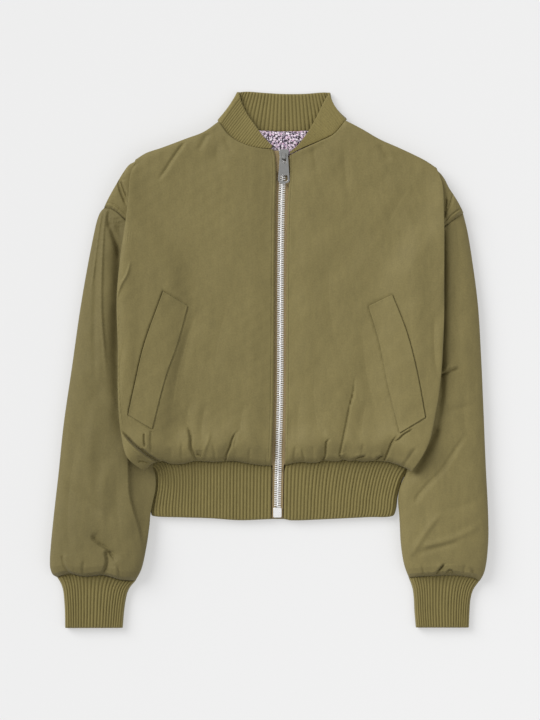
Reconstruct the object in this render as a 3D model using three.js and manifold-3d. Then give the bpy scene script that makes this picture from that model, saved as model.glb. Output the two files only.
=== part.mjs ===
import * as THREE from 'three';
import { mergeVertices } from 'three/addons/utils/BufferGeometryUtils.js';
import Module from 'manifold-3d';

// A padded bomber jacket lying flat on its back, zipped up, with its sleeves beside the body.
// +X is the viewer's right, +Y runs from the hem to the collar and +Z is up from the surface.
// All lengths are in millimetres. "Left" and "right" are the viewer's.

// Cloth and layer heights
const BACK_WALL = 11;
const FRONT_WALL = 12.5;
const CAP_WALL = 11;
const FOLD_ROUND = 12;
const CAP_FOLD_ROUND = 14;
const BACK_HEM_ROUND = 22;
const FRONT_HEM_ROUND = 24;
const SHOULDER_ROUND = 11;
const ZIP_EDGE_ROUND = 9;
const BLOUSE = { rise: 7, from: 26, spread: 19 };
const SLEEVE = { sideRound: 42, floorRound: 12, slitHalf: 0.45 };
const SEAM_RIM = 2.8;
const REST_GAP = 0.45;
const SEAM_GAP = 0.35;
const ARMHOLE_GAP = 0.75;
const LINING_WALL = 1.2;
const WELT_WALL = 3.2;
const TAPE_WALL = 1.2;

// Ribbed knit
const RIB_RELIEF = 0.9;
const HEM_WALL = 3.7;
const HEM_SLIT = 1.1;
const HEM_RIBS_PER_FRONT = 36;
const CUFF_HEIGHT = 9.6;
const CUFF_RIBS = 20;
const COLLAR_WALL = 3.4;
const COLLAR_RIBS = 80;
const COLLAR_WAIST = 3.2;

// Zip
const CHAIN_WIDTH = 8.6;
const CHAIN_HEIGHT = 4.3;
const CHAIN_LIFT = 0.4;
const CHAIN_FOOT = -201.6;
const TAPE_LIFT = 1.3;
const TAPE_FOOT = -216.5;
const TAPE_REACH = 15;
const TAPE_REACH_AT_HEM = 7.6;
const BOX_SIZE = { width: 11.3, length: 13.5, height: 4.6, y: -208.6 };
const SLIDER = {
  x: 18, low: 268.6, high: 282.6, lowWidth: 10.5, highWidth: 14, base: 15.55, height: 4.6,
};
const BRIDGE = { width: 4, low: 268.7, high: 277.4, rise: 4.6, bar: 1.5 };
const TAB = {
  length: 35.5, topWidth: 11.5, endWidth: 15.6, wall: 1.7, slotWidth: 5.4, slotLength: 8.2, tilt: 3.2,
};
const HINGE = { x: 18, y: 271.6, z: 21.9 };

// Outlines seen from above, each a list of x, y pairs from the hem upward or from left to right
const HEM_SEAM = [
  [-170.8, -151.9], [-160, -144.5], [-134.3, -141.8], [-96.5, -139.1], [-61.4, -139.7],
  [-27.7, -142.8], [0.6, -145.5], [20.9, -144.5], [34.4, -141.6], [62.8, -141.1], [97.9, -138.4],
  [131.6, -138.4], [157.3, -139.5], [174.8, -144.6], [189.7, -151.9],
];
const LEFT_FOLD = [
  [-170.8, -151.9], [-192.4, -131.6], [-201.4, -96.5], [-204.8, -56], [-205.2, 18.2], [-206.8, 79],
  [-201.8, 138.4], [-195.1, 184.3], [-191.7, 214], [-188.7, 247.7], [-182.3, 268.3],
];
const RIGHT_FOLD = [
  [189.7, -151.9], [204.3, -129.9], [214.4, -108], [221.5, -74.9], [227.5, -37.9], [232.9, 40.5],
  [233.6, 120], [233.6, 190], [231.4, 236], [224.1, 257.2],
];
const LEFT_SHOULDER = [
  [-182.3, 268.3], [-168.1, 277.4], [-147.8, 284.4], [-114.8, 296.9], [-89.9, 306.6],
  [-71.5, 318.2],
];
const RIGHT_SHOULDER = [
  [224.1, 257.2], [207.8, 268], [174.6, 284.4], [147, 296.9], [124.9, 310], [103, 320.3],
];
const LEFT_NECK = [[-71.5, 318.2], [-57.5, 300.2], [-37.8, 288.9], [-18.4, 283.6], [2, 281.8]];
const RIGHT_NECK = [[103, 320.3], [86.8, 302], [67, 292.8], [42.2, 282.1], [25.4, 274.2]];
const BACK_NECK = [
  [-71.5, 318.2], [-52, 312.6], [-18.2, 308.6], [18.2, 306.8], [54.7, 308.2], [85.7, 312.8],
  [103, 320.3],
];
const LEFT_ZIP_EDGE = [[0.6, -145.5], [2.6, -56], [4, 146.5], [4.9, 214], [4.8, 255], [2, 281.8]];
const RIGHT_ZIP_EDGE = [
  [20.9, -144.5], [22.6, -56], [23.9, 146.5], [25.2, 214], [26, 250], [25.4, 274.2],
];
const ZIP_MIDDLE = [
  [9.2, -216.7], [10.4, -145.1], [12.8, -56], [13.9, 146.5], [15.5, 227.5], [18.2, 281.5],
];

// Sleeves, from the armhole down to the cuff, and the armhole seams from the outside inward
const LEFT_ARMHOLE = [
  [-224.8, 204.5], [-214.7, 201.9], [-204.4, 194.8], [-195.8, 186.3], [-164, 161], [-133, 142.4],
];
const RIGHT_ARMHOLE = [[260.4, 197.8], [252, 191], [236, 178], [205, 150], [172.1, 122]];
const LEFT_SLEEVE_OUTER = [
  [-224.8, 204.5], [-230.5, 198], [-234.6, 187], [-238, 171], [-247, 124], [-257, 64],
  [-267.2, -8.8], [-279, -89.8], [-286.6, -157.3], [-293, -218], [-296.2, -256], [-296, -278],
  [-289.6, -295],
];
const LEFT_SLEEVE_INNER = [
  [-133, 142.4], [-127.6, 119.5], [-126.2, 79], [-127.6, 31.7], [-131.6, -29], [-144, -90],
  [-163, -127], [-176, -151], [-168.5, -157.5], [-162.3, -163.5], [-159.6, -171], [-160, -181],
  [-162.4, -193], [-164.8, -205], [-164.4, -213], [-163.4, -223],
  [-168, -256], [-174.8, -285.5], [-183, -301.2],
];
const RIGHT_SLEEVE_OUTER = [
  [260.4, 197.8], [265.3, 172.1], [273.4, 130.3], [280.8, 72.2], [284.9, 4.7], [288.2, -69.5],
  [290.9, -137], [294.4, -211.3], [294, -245], [289.6, -280.1], [281.5, -302.6],
];
const RIGHT_SLEEVE_INNER = [
  [172.1, 122], [165.4, 95.2], [161.3, 62.8], [160, 18.2], [161.3, -35.8], [167.5, -96.5],
  [181, -128], [194.4, -152.5], [187.8, -164], [181, -178], [176.8, -190], [174.6, -200],
  [174.4, -208], [174.8, -222],
  [176.4, -253.1], [181.6, -282.8], [188, -300.6],
];
const LEFT_CUFF_SEAM = [
  [-289.6, -295], [-272, -296.2], [-230, -296], [-205, -298.5], [-183, -301.2],
];
const RIGHT_CUFF_SEAM = [
  [281.5, -302.6], [262, -300.4], [232, -299.2], [205, -299.6], [188, -300.6],
];

// Cuffs, from the seam down to the open end
const LEFT_CUFF_OUTER = [
  [-288.2, -296.2], [-280.9, -304.8], [-277.4, -320.1], [-276.3, -342.2], [-277, -363.8],
];
const LEFT_CUFF_INNER = [[-184.6, -302.4], [-192.4, -313.3], [-197, -331.4], [-200.5, -363.8]];
const RIGHT_CUFF_OUTER = [[280, -303.9], [270.9, -320.1], [268.7, -342.2], [268, -363.3]];
const RIGHT_CUFF_INNER = [[189.6, -302], [193.7, -320.1], [195.1, -342.2], [197.1, -363.3]];
const LEFT_CUFF_TOP = [
  [-288.2, -296.2], [-272, -297.2], [-230, -297], [-205, -299.6], [-184.6, -302.4],
];
const RIGHT_CUFF_TOP = [[280, -303.9], [262, -301.5], [232, -300.3], [205, -300.7], [189.6, -302]];

// Hem band: how far down from the seam (0) to the free edge (1), and where it folds round at each side
const HEM_SIDES = [
  { down: 0, left: -167, right: 185 },
  { down: 0.08, left: -160, right: 182.4 },
  { down: 0.18, left: -155.2, right: 178.8 },
  { down: 0.3, left: -153, right: 175.2 },
  { down: 0.48, left: -153.4, right: 171.2 },
  { down: 0.68, left: -156.2, right: 168 },
  { down: 0.88, left: -158.4, right: 166.4 },
  { down: 1, left: -157.4, right: 163.5 },
];
const HEM_FREE_EDGE = [
  [-170, -210.6], [-155.9, -214], [-122.2, -215.3], [-81, -216.6], [-41.2, -219.2], [0, -217.7],
  [19.6, -217.7], [26.3, -219.2], [80.3, -217.6], [135, -215], [161.3, -214.4], [176, -210],
];

// Drop-shoulder caps between the folds and the armhole seams, from the shoulder or toward it
const LEFT_CAP = [
  [-224.8, 204.5], [-216.7, 220.7], [-208.6, 234.9], [-200.5, 248.7], [-191, 261.5],
  [-182.3, 268.3],
];
const RIGHT_CAP = [[224.1, 257.2], [233.6, 244.7], [241, 230.7], [251.8, 214], [260.4, 197.8]];

// How far each cap reaches along its armhole seam, where it ends inside, and its part outside the fold
const LEFT_CAP_REACH = { seam: 0.68, inner: [-160, 267], stepSeam: 0.42, stepOutline: 0.8 };
const RIGHT_CAP_REACH = { seam: 0.62, inner: [204, 257], stepSeam: 0.36, stepOutline: 0.78 };

// Sides of the back, hidden between the sleeves, from the hem up to the armholes
const BACK_LEFT = [
  [-170.8, -151.9], [-158, -127], [-140.5, -88], [-129, -29], [-125, 31.7], [-123.6, 79],
  [-125, 118], [-130.6, 141],
];
const BACK_RIGHT = [
  [189.7, -151.9], [176, -127], [164.4, -96], [158.6, -36], [157.4, 18.2], [158.7, 62.8],
  [162.8, 95], [169.6, 120.4],
];

// Lining inside the neck
const LINING = {
  bottom: [[-16, 262], [18, 259], [54, 261]],
  top: [[-47, 310], [-18, 306.6], [18, 304.8], [55, 306.2], [83, 310.4]],
  left: [[-16, 262], [-34, 288], [-47, 310]],
  right: [[54, 261], [71, 286], [83, 310.4]],
};

// Height of a sleeve from the armhole (0) to the cuff (1)
const SLEEVE_HEIGHTS = [
  { at: 0, z: 21 }, { at: 0.06, z: 23 }, { at: 0.35, z: 25 }, { at: 0.7, z: 27 }, { at: 0.9, z: 30 },
  { at: 0.96, z: 27 }, { at: 0.985, z: 19 }, { at: 1, z: 10.4 },
];

// Largest folds: a soft trough from one point to another, with its half width and its depth
const LEFT_FRONT_FOLDS = [
  { x0: -118, y0: 290, x1: -149, y1: 240, width: 11, depth: 3 },
  { x0: -45, y0: -99, x1: -61, y1: -137, width: 9, depth: 6 },
  { x0: -110, y0: -97, x1: -106, y1: -131, width: 11, depth: 3.5 },
  { x0: -192, y0: -104, x1: -148, y1: -138, width: 10, depth: 4 },
  { x0: -99, y0: 66, x1: -140, y1: -70, width: 14, depth: 2.5 },
  { x0: -75, y0: 281, x1: -52, y1: 250, width: 10, depth: 2.5 },
];
const RIGHT_FRONT_FOLDS = [
  { x0: 113, y0: -40, x1: 94, y1: -133, width: 9, depth: 4.5 },
  { x0: 173, y0: -99, x1: 154, y1: -135, width: 9, depth: 5.5 },
  { x0: 76, y0: -106, x1: 70, y1: -136, width: 9, depth: 6 },
  { x0: 147, y0: 289, x1: 162, y1: 270, width: 11, depth: 2.5 },
  { x0: 100, y0: 281, x1: 107, y1: 228, width: 12, depth: 2.5 },
];
const LEFT_SLEEVE_FOLDS = [
  { x0: -190, y0: -120, x1: -176, y1: -250, width: 12, depth: 5 },
  { x0: -241, y0: -238, x1: -209, y1: -271, width: 9, depth: 4 },
  { x0: -270, y0: -60, x1: -215, y1: -140, width: 15, depth: 3.5 },
];
const RIGHT_SLEEVE_FOLDS = [
  { x0: 192, y0: -160, x1: 282, y1: -104, width: 14, depth: 4 },
  { x0: 215, y0: -22, x1: 252, y1: -12, width: 10, depth: 3 },
  { x0: 196, y0: -280, x1: 285, y1: -229, width: 12, depth: 4.5 },
];

// Gathers above the hem seam: where each starts, how far up it reaches, its half width and depth
const LEFT_GATHERS = [
  { x: -148, reach: 26, width: 7, depth: 3 },
  { x: -128, reach: 34, width: 8, depth: 3.5 },
  { x: -86, reach: 22, width: 8, depth: 3 },
  { x: -38, reach: 30, width: 8, depth: 3 },
  { x: -18, reach: 18, width: 7, depth: 2 },
];
const RIGHT_GATHERS = [
  { x: 45, reach: 22, width: 7, depth: 3.5 },
  { x: 115, reach: 24, width: 8, depth: 3 },
  { x: 135, reach: 20, width: 7, depth: 2 },
];

// Collar: for each station the seam edge (s) and the free edge (f) of the strip's middle surface
const COLLAR_STATIONS = [
  { sx: 0.6, sy: 283.6, sz: 17.4, fx: 2.6, fy: 287.6, fz: 17.4 },
  { sx: -18.2, sy: 285.6, sz: 16.4, fx: -8.1, fy: 298.4, fz: 15.8 },
  { sx: -37.1, sy: 291.2, sz: 15.8, fx: -19.6, fy: 313.9, fz: 13.2 },
  { sx: -55, sy: 303, sz: 15.4, fx: -32.4, fy: 332.8, fz: 8.6 },
  { sx: -64.8, sy: 314.5, sz: 14.6, fx: -39.8, fy: 349, fz: 7.4 },
  { sx: -68, sy: 321, sz: 13.2, fx: -42.2, fy: 358.6, fz: 7.1 },
  { sx: -69.4, sy: 323.6, sz: 8.6, fx: -43.9, fy: 361, fz: 4.6 },
  { sx: -66, sy: 321, sz: 3.4, fx: -41.4, fy: 361.6, fz: 1.75 },
  { sx: -47, sy: 314.4, sz: 2.1, fx: -30, fy: 362.2, fz: 1.75 },
  { sx: -16, sy: 310.4, sz: 2, fx: -8, fy: 360.6, fz: 1.75 },
  { sx: 18.2, sy: 308.8, sz: 2, fx: 18, fy: 359.1, fz: 1.75 },
  { sx: 52, sy: 310.2, sz: 2, fx: 46.6, fy: 359.3, fz: 1.75 },
  { sx: 82, sy: 316, sz: 2.1, fx: 68.5, fy: 361, fz: 1.75 },
  { sx: 97.4, sy: 322.4, sz: 3.4, fx: 77.2, fy: 361, fz: 1.75 },
  { sx: 101, sy: 325, sz: 8.6, fx: 79.9, fy: 360.2, fz: 4.6 },
  { sx: 99.6, sy: 322.6, sz: 13.2, fx: 78.2, fy: 357.6, fz: 7.1 },
  { sx: 94.6, sy: 316.3, sz: 14.6, fx: 72.2, fy: 347.6, fz: 7.4 },
  { sx: 84.6, sy: 304.8, sz: 15.4, fx: 62.8, fy: 328, fz: 8.8 },
  { sx: 65.8, sy: 294.9, sz: 15.8, fx: 51.3, fy: 307.8, fz: 14.4 },
  { sx: 44, sy: 285.2, sz: 16.6, fx: 38.6, fy: 290.4, fz: 16.2 },
  { sx: 26.4, sy: 276.4, sz: 18, fx: 28, fy: 280.6, fz: 18 },
];

// Pocket welts, each side a list of x, y pairs
const LEFT_WELT = {
  bottom: [[-191, -75.7], [-159, -94.6]],
  top: [[-144.3, 90.5], [-111.6, 70.9]],
  left: [[-191, -75.7], [-182.3, -35.2], [-170.2, 16.9], [-144.3, 90.5]],
  right: [[-159, -94.6], [-141.1, -25], [-125.4, 19.8], [-111.6, 70.9]],
};
const RIGHT_WELT = {
  bottom: [[173.3, -99.8], [207.8, -79]],
  top: [[132, 70.9], [163.9, 86.1]],
  left: [[173.3, -99.8], [157.8, -37.1], [145.8, 23.6], [132, 70.9]],
  right: [[207.8, -79], [197.4, -21.9], [183.6, 33.6], [163.9, 86.1]],
};

// Number helpers
const clamp = (value) => Math.min(1, Math.max(0, value));
const mix = (from, to, share) => from + (to - from) * share;
const smooth = (value) => clamp(value) ** 2 * (3 - 2 * clamp(value));
const quarter = (distance, radius) => Math.sqrt(1 - (1 - clamp(distance / radius)) ** 2);
const steps = (count) => Array.from({ length: count + 1 }, (_, i) => i / count);
const crowded = (count, crowd) => steps(count).map((t) => (
  t - crowd * Math.sin(2 * Math.PI * t) / (2 * Math.PI)
));

// Value of one column of a table at a position along another column
function lookUp(rows, position, key, value) {
  const next = rows.findIndex((row) => row[key] >= position);
  if (next === 0) return rows[0][value];
  if (next < 0) return rows[rows.length - 1][value];
  const share = (position - rows[next - 1][key]) / (rows[next][key] - rows[next - 1][key]);
  return mix(rows[next - 1][value], rows[next][value], smooth(share) * 0.5 + share * 0.5);
}

// Smooth curve through a list of points, as a function from 0 to 1 along its length
function curve(rows) {
  const points = rows.map(([x, y]) => new THREE.Vector3(x, y, 0));
  const path = new THREE.CatmullRomCurve3(points, false, 'centripetal');
  path.arcLengthDivisions = 240;
  return (t) => path.getPointAt(clamp(t));
}

// Two curves one after the other, with the corner between them at the given share
const joined = (first, second, share) => (t) => (
  t <= share ? first(t / share) : second((t - share) / (1 - share))
);

// A curve moved sideways by a distance in the plane; positive is to its left
function beside(path, distance) {
  return (t) => {
    const ahead = path(Math.min(1, t + 0.01)).sub(path(Math.max(0, t - 0.01))).normalize();
    return path(t).add(new THREE.Vector3(-ahead.y, ahead.x, 0).multiplyScalar(distance));
  };
}

// Depth of all the soft troughs of a table at a point
function troughs(rows, x, y) {
  return rows.reduce((sum, { x0, y0, x1, y1, width, depth }) => {
    const length = Math.hypot(x1 - x0, y1 - y0);
    const along = ((x - x0) * (x1 - x0) + (y - y0) * (y1 - y0)) / length;
    const across = ((x - x0) * (y1 - y0) - (y - y0) * (x1 - x0)) / length;
    const past = Math.max(0, -along, along - length);
    return sum + depth * Math.exp(-((across / width) ** 2) - (past / width) ** 2);
  }, 0);
}

// Patch between four edge curves: each point blends the opposite edges and takes off the corners
function patch({ bottom, top, left, right }, us, vs) {
  const corners = [[bottom(0), 0, 0], [bottom(1), 1, 0], [top(0), 0, 1], [top(1), 1, 1]];
  return vs.map((v) => us.map((u) => {
    const point = bottom(u).multiplyScalar(1 - v).addScaledVector(top(u), v);
    point.addScaledVector(left(v), 1 - u).addScaledVector(right(v), u);
    for (const [corner, cu, cv] of corners) {
      point.addScaledVector(corner, -(cu ? u : 1 - u) * (cv ? v : 1 - v));
    }
    return point;
  }));
}

// Grid of points with heights from a rule that knows how far each edge is
function raised(grid, rule) {
  const last = grid.length - 1;
  const end = grid[0].length - 1;
  return grid.map((row, r) => row.map((point, c) => {
    const to = (other) => Math.hypot(point.x - other.x, point.y - other.y);
    const far = {
      left: to(row[0]), right: to(row[end]), bottom: to(grid[0][c]), top: to(grid[last][c]),
    };
    return new THREE.Vector3(point.x, point.y, rule(point, far));
  }));
}

// Closed body from an outer grid and an inner grid, stitched along their edges. Both share the
// parameters us (columns) and vs (rows); wrap joins the last column to the first.
function shell(outer, inner, wrap = false) {
  const points = [];
  const faces = [];
  const place = ({ grid }) => grid.map((row) => row.map((point) => points.push(point) - 1));
  const skin = (ids, flip) => {
    for (let r = 0; r + 1 < ids.length; r += 1) {
      const width = ids[r].length;
      for (let c = 0; c < (wrap ? width : width - 1); c += 1) {
        const n = (c + 1) % width;
        const [a, b, d, e] = [ids[r][c], ids[r][n], ids[r + 1][n], ids[r + 1][c]];
        faces.push(flip ? [a, d, b] : [a, b, d], flip ? [a, e, d] : [a, d, e]);
      }
    }
  };
  const stitch = (a, ta, b, tb) => {
    let i = 0;
    let j = 0;
    while (i + 1 < a.length || j + 1 < b.length) {
      const takeA = j + 1 === b.length || (i + 1 < a.length && ta[i + 1] <= tb[j + 1]);
      faces.push(takeA ? [a[i + 1], a[i], b[j]] : [b[j], b[j + 1], a[i]]);
      i += takeA ? 1 : 0;
      j += takeA ? 0 : 1;
    }
  };
  const back = (list) => [...list].reverse();
  const flipped = (list) => back(list).map((t) => -t);
  const close = (row) => (wrap ? [...row, row[0]] : row);
  const closeU = (us) => (wrap ? [...us, us[0] + 1] : us);
  const o = place(outer);
  const n = place(inner);
  const [ou, nu] = [closeU(outer.us), closeU(inner.us)];
  const [oLast, nLast] = [close(o[o.length - 1]), close(n[n.length - 1])];
  skin(o, false);
  skin(n, true);
  stitch(close(o[0]), ou, close(n[0]), nu);
  stitch(back(oLast), flipped(ou), back(nLast), flipped(nu));
  if (!wrap) {
    const column = (ids, at) => ids.map((row) => row.at(at));
    stitch(back(column(o, 0)), flipped(outer.vs), back(column(n, 0)), flipped(inner.vs));
    stitch(column(o, -1), outer.vs, column(n, -1), inner.vs);
  }
  return solid(points, faces);
}

// Geometry from points and triangles, turned so that its faces point out
function solid(points, faces) {
  const volume = faces.reduce((sum, [a, b, c]) => {
    const cross = new THREE.Vector3().crossVectors(points[b], points[c]);
    return sum + points[a].dot(cross);
  }, 0);
  const geometry = new THREE.BufferGeometry();
  const numbers = points.flatMap((p) => [p.x, p.y, p.z]);
  geometry.setAttribute('position', new THREE.Float32BufferAttribute(numbers, 3));
  geometry.setIndex(faces.flatMap(([a, b, c]) => (volume > 0 ? [a, b, c] : [a, c, b])));
  return geometry;
}

// Heights of the pieces laid so far, asked for at a point
class Relief {
  constructor(cell = 10) {
    this.cell = cell;
    this.bins = new Map();
  }

  add(geometry, lift = 0) {
    const position = geometry.getAttribute('position');
    const flat = geometry.index
      ? Array.from(geometry.index.array)
      : steps(position.count - 1).map((_, i) => i);
    for (let i = 0; i < flat.length; i += 3) {
      const corners = [0, 1, 2].map((k) => (
        new THREE.Vector3().fromBufferAttribute(position, flat[i + k])
      ));
      corners.forEach((corner) => { corner.z += lift; });
      const low = (axis) => Math.floor(Math.min(...corners.map((p) => p[axis])) / this.cell);
      const high = (axis) => Math.floor(Math.max(...corners.map((p) => p[axis])) / this.cell);
      for (let gx = low('x'); gx <= high('x'); gx += 1) {
        for (let gy = low('y'); gy <= high('y'); gy += 1) {
          const key = gx * 1000 + gy;
          if (!this.bins.has(key)) this.bins.set(key, []);
          this.bins.get(key).push(corners);
        }
      }
    }
    return this;
  }

  at(x, y) {
    const key = Math.floor(x / this.cell) * 1000 + Math.floor(y / this.cell);
    let best = 0;
    for (const [a, b, c] of this.bins.get(key) || []) {
      const area = (b.x - a.x) * (c.y - a.y) - (c.x - a.x) * (b.y - a.y);
      if (Math.abs(area) < 1e-9) continue;
      const wb = ((x - a.x) * (c.y - a.y) - (c.x - a.x) * (y - a.y)) / area;
      const wc = ((b.x - a.x) * (y - a.y) - (x - a.x) * (b.y - a.y)) / area;
      if (wb >= -1e-6 && wc >= -1e-6 && wb + wc <= 1.000001) {
        best = Math.max(best, a.z + wb * (b.z - a.z) + wc * (c.z - a.z));
      }
    }
    return best;
  }

  // Cloth laid over the pieces: the highest point nearby, then evened out over a wider ring
  draped(x, y, reach, blur) {
    const ring = [0, 1, 2, 3, 4, 5, 6, 7].map((k) => (
      [Math.cos(k * Math.PI / 4), Math.sin(k * Math.PI / 4)]
    ));
    const near = (px, py) => Math.max(
      this.at(px, py),
      ...ring.map(([c, s]) => this.at(px + reach * c, py + reach * s)),
    );
    const wide = ring.flatMap(([c, s]) => [[blur * c, blur * s], [0.5 * blur * c, 0.5 * blur * s]]);
    const sum = wide.reduce((total, [dx, dy]) => total + near(x + dx, y + dy), 2 * near(x, y));
    return Math.max(this.at(x, y), sum / (wide.length + 2));
  }
}

// Lifts the points of an underside until each of its triangles clears what lies below
function seat(grid, relief, gap) {
  const parts = 6;
  for (let pass = 0; pass < 5; pass += 1) {
    const lift = grid.map((row) => row.map(() => 0));
    for (let r = 0; r + 1 < grid.length; r += 1) {
      for (let c = 0; c + 1 < grid[0].length; c += 1) {
        const upper = [[r, c], [r, c + 1], [r + 1, c + 1]];
        const lower = [[r, c], [r + 1, c + 1], [r + 1, c]];
        for (const ids of [upper, lower]) {
          const [a, b, d] = ids.map(([i, j]) => grid[i][j]);
          let need = 0;
          for (let i = 0; i <= parts; i += 1) {
            for (let j = 0; i + j <= parts; j += 1) {
              const [wb, wd] = [i / parts, j / parts];
              const p = a.clone().multiplyScalar(1 - wb - wd)
                .addScaledVector(b, wb).addScaledVector(d, wd);
              need = Math.max(need, relief.at(p.x, p.y) + gap - p.z);
            }
          }
          for (const [i, j] of ids) lift[i][j] = Math.max(lift[i][j], need);
        }
      }
    }
    grid.forEach((row, r) => row.forEach((point, c) => { point.z += lift[r][c]; }));
  }
  return grid;
}

// Joins, with a body made of closed geometries
const wasm = await Module();
wasm.setup();
function toBody(geometry) {
  const vertProperties = new Float32Array(geometry.getAttribute('position').array);
  const triVerts = new Uint32Array(geometry.index.array);
  return new wasm.Manifold(new wasm.Mesh({ numProp: 3, vertProperties, triVerts }));
}
function fromBody(body) {
  const { numProp, vertProperties, triVerts } = body.getMesh();
  const geometry = new THREE.BufferGeometry();
  const positions = [];
  for (let i = 0; i < vertProperties.length; i += numProp) {
    positions.push(...vertProperties.slice(i, i + 3));
  }
  geometry.setAttribute('position', new THREE.Float32BufferAttribute(positions, 3));
  geometry.setIndex(Array.from(triVerts));
  return geometry;
}

// Padded slab: its rule gives the height of its underside and of its top at a point
function slab({ edges, us, vs, underUs, underVs, rule, relief }) {
  const outer = raised(patch(edges, us, vs), (point, far) => rule(point, far).high);
  const inner = raised(patch(edges, underUs, underVs), (point, far) => rule(point, far).low);
  if (relief) seat(inner, relief, REST_GAP);
  return shell({ grid: outer, us, vs }, { grid: inner, us: underUs, vs: underVs });
}

// Thin piece laid on the pieces below, with the same wall everywhere
function leaf({ edges, us, vs, wall, relief, gap = REST_GAP, rise = 0 }) {
  const laid = (point) => relief.draped(point.x, point.y, 1.5, 4) + rise;
  const inner = seat(raised(patch(edges, us, vs), laid), relief, gap);
  const up = new THREE.Vector3(0, 0, wall);
  const outer = inner.map((row) => row.map((point) => point.clone().add(up)));
  return shell({ grid: outer, us, vs }, { grid: inner, us, vs });
}

// Flattened tube: an upper and a lower wall meeting in round sides, with a thin slit between them
function flatTube({ edges, us, lowUs, vs, height, sideRadius, floorRadius, slit, shapeUp }) {
  const side = (far) => Math.min(far.left, far.right);
  const full = vs.map((v) => height(v));
  const upper = patch(edges, us, vs).map((row, r, grid) => row.map((point, c) => {
    const reach = Math.min(point.distanceTo(row[0]), point.distanceTo(row[row.length - 1]));
    const rise = full[r] / 2 * (1 + quarter(reach, sideRadius));
    const inside = c > 0 && c < row.length - 1;
    const relief = inside ? shapeUp(point, us[c], vs[r]) * quarter(reach, sideRadius) : 0;
    return new THREE.Vector3(point.x, point.y, rise + relief);
  }));
  const inner = lowUs.slice(1, -1);
  const low = (point, r) => full[r] / 2 * (1 - quarter(point.z, floorRadius));
  const lower = raised(patch(edges, lowUs, vs), (point, far) => side(far)).map((row, r) => (
    row.slice(1, -1).map((point) => new THREE.Vector3(point.x, point.y, low(point, r)))
  ));
  const ring = upper.map((row, r) => [...row, ...[...lower[r]].reverse()]);
  const ringUs = [...us.map((u) => u / 2), ...[...inner].reverse().map((u) => 1 - u / 2)];
  const slitUs = steps(slit.columns).map((t) => mix(slit.inset, 1 - slit.inset, t));
  const slitVs = steps(slit.rows);
  const gap = patch(edges, slitUs, slitVs).map((row, r) => {
    const middle = height(slitVs[r]) / 2;
    const at = (point, z) => new THREE.Vector3(point.x, point.y, z);
    const inside = (c) => c > 0 && c < row.length - 1;
    const up = row.map((point, c) => at(point, middle + (inside(c) ? slit.half : 0)));
    return [...up, ...row.slice(1, -1).reverse().map((point) => at(point, middle - slit.half))];
  });
  const count = slit.columns;
  const gapUs = [
    ...steps(count).map((t) => t / 2),
    ...steps(count).slice(1, -1).map((t) => 0.5 + t / 2),
  ];
  return shell({ grid: ring, us: ringUs, vs }, { grid: gap, us: gapUs, vs: slitVs }, true);
}

// Back: one slab under everything, out to both armholes and up to the neck
const BACK_COLUMNS = 20;
const BACK_ROWS = 24;
const backNeck = beside(curve(BACK_NECK), -SEAM_GAP);
const backShoulders = joined(
  joined(curve([...LEFT_CAP, ...LEFT_SHOULDER.slice(1)]), backNeck, 7 / 13),
  curve([...[...RIGHT_SHOULDER].reverse(), ...RIGHT_CAP.slice(1)]),
  13 / BACK_COLUMNS,
);
const backSide = (side, armhole, gap) => joined(
  curve(side), beside(curve([...armhole].reverse()), gap), 16 / BACK_ROWS,
);
const backEdges = {
  bottom: curve(HEM_SEAM),
  top: backShoulders,
  left: backSide(BACK_LEFT, LEFT_ARMHOLE, -ARMHOLE_GAP),
  right: backSide(BACK_RIGHT, RIGHT_ARMHOLE, ARMHOLE_GAP),
};
const back = slab({
  edges: backEdges,
  us: steps(BACK_COLUMNS),
  vs: steps(BACK_ROWS),
  underUs: steps(BACK_COLUMNS),
  underVs: steps(BACK_ROWS),
  rule: (point, far) => {
    const soft = quarter(Math.min(far.left, far.right), FOLD_ROUND) * quarter(far.top, FOLD_ROUND)
      * quarter(far.bottom, BACK_HEM_ROUND);
    return { low: 0.8 * (1 - soft), high: mix(SEAM_RIM + 0.8, BACK_WALL, soft) };
  },
});

// Sleeves
function sleeve(outerSide, innerSide, armhole, cuffSeam, folds, turn) {
  const armholeEdge = beside(curve(armhole), turn * SEAM_GAP);
  const height = (v) => lookUp(SLEEVE_HEIGHTS, v, 'at', 'z');
  return flatTube({
    edges: {
      left: curve(outerSide), right: curve(innerSide), bottom: armholeEdge, top: curve(cuffSeam),
    },
    us: crowded(14, 0.5),
    lowUs: crowded(7, 0.4),
    vs: [...steps(18).slice(0, -1).map((t) => t * 0.93), 0.93, 0.965, 0.985, 1],
    height,
    sideRadius: SLEEVE.sideRound,
    floorRadius: SLEEVE.floorRound,
    slit: { inset: 0.13, half: SLEEVE.slitHalf, columns: 5, rows: 9 },
    shapeUp: (point, u, v) => (
      -troughs(folds, point.x, point.y) * smooth(v * 8) * smooth((1 - v) * 14)
    ),
  });
}
const sleeveLeft = sleeve(
  LEFT_SLEEVE_OUTER, LEFT_SLEEVE_INNER, LEFT_ARMHOLE, LEFT_CUFF_SEAM, LEFT_SLEEVE_FOLDS, -1,
);
const sleeveRight = sleeve(
  RIGHT_SLEEVE_OUTER, RIGHT_SLEEVE_INNER, RIGHT_ARMHOLE, RIGHT_CUFF_SEAM, RIGHT_SLEEVE_FOLDS, 1,
);

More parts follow.
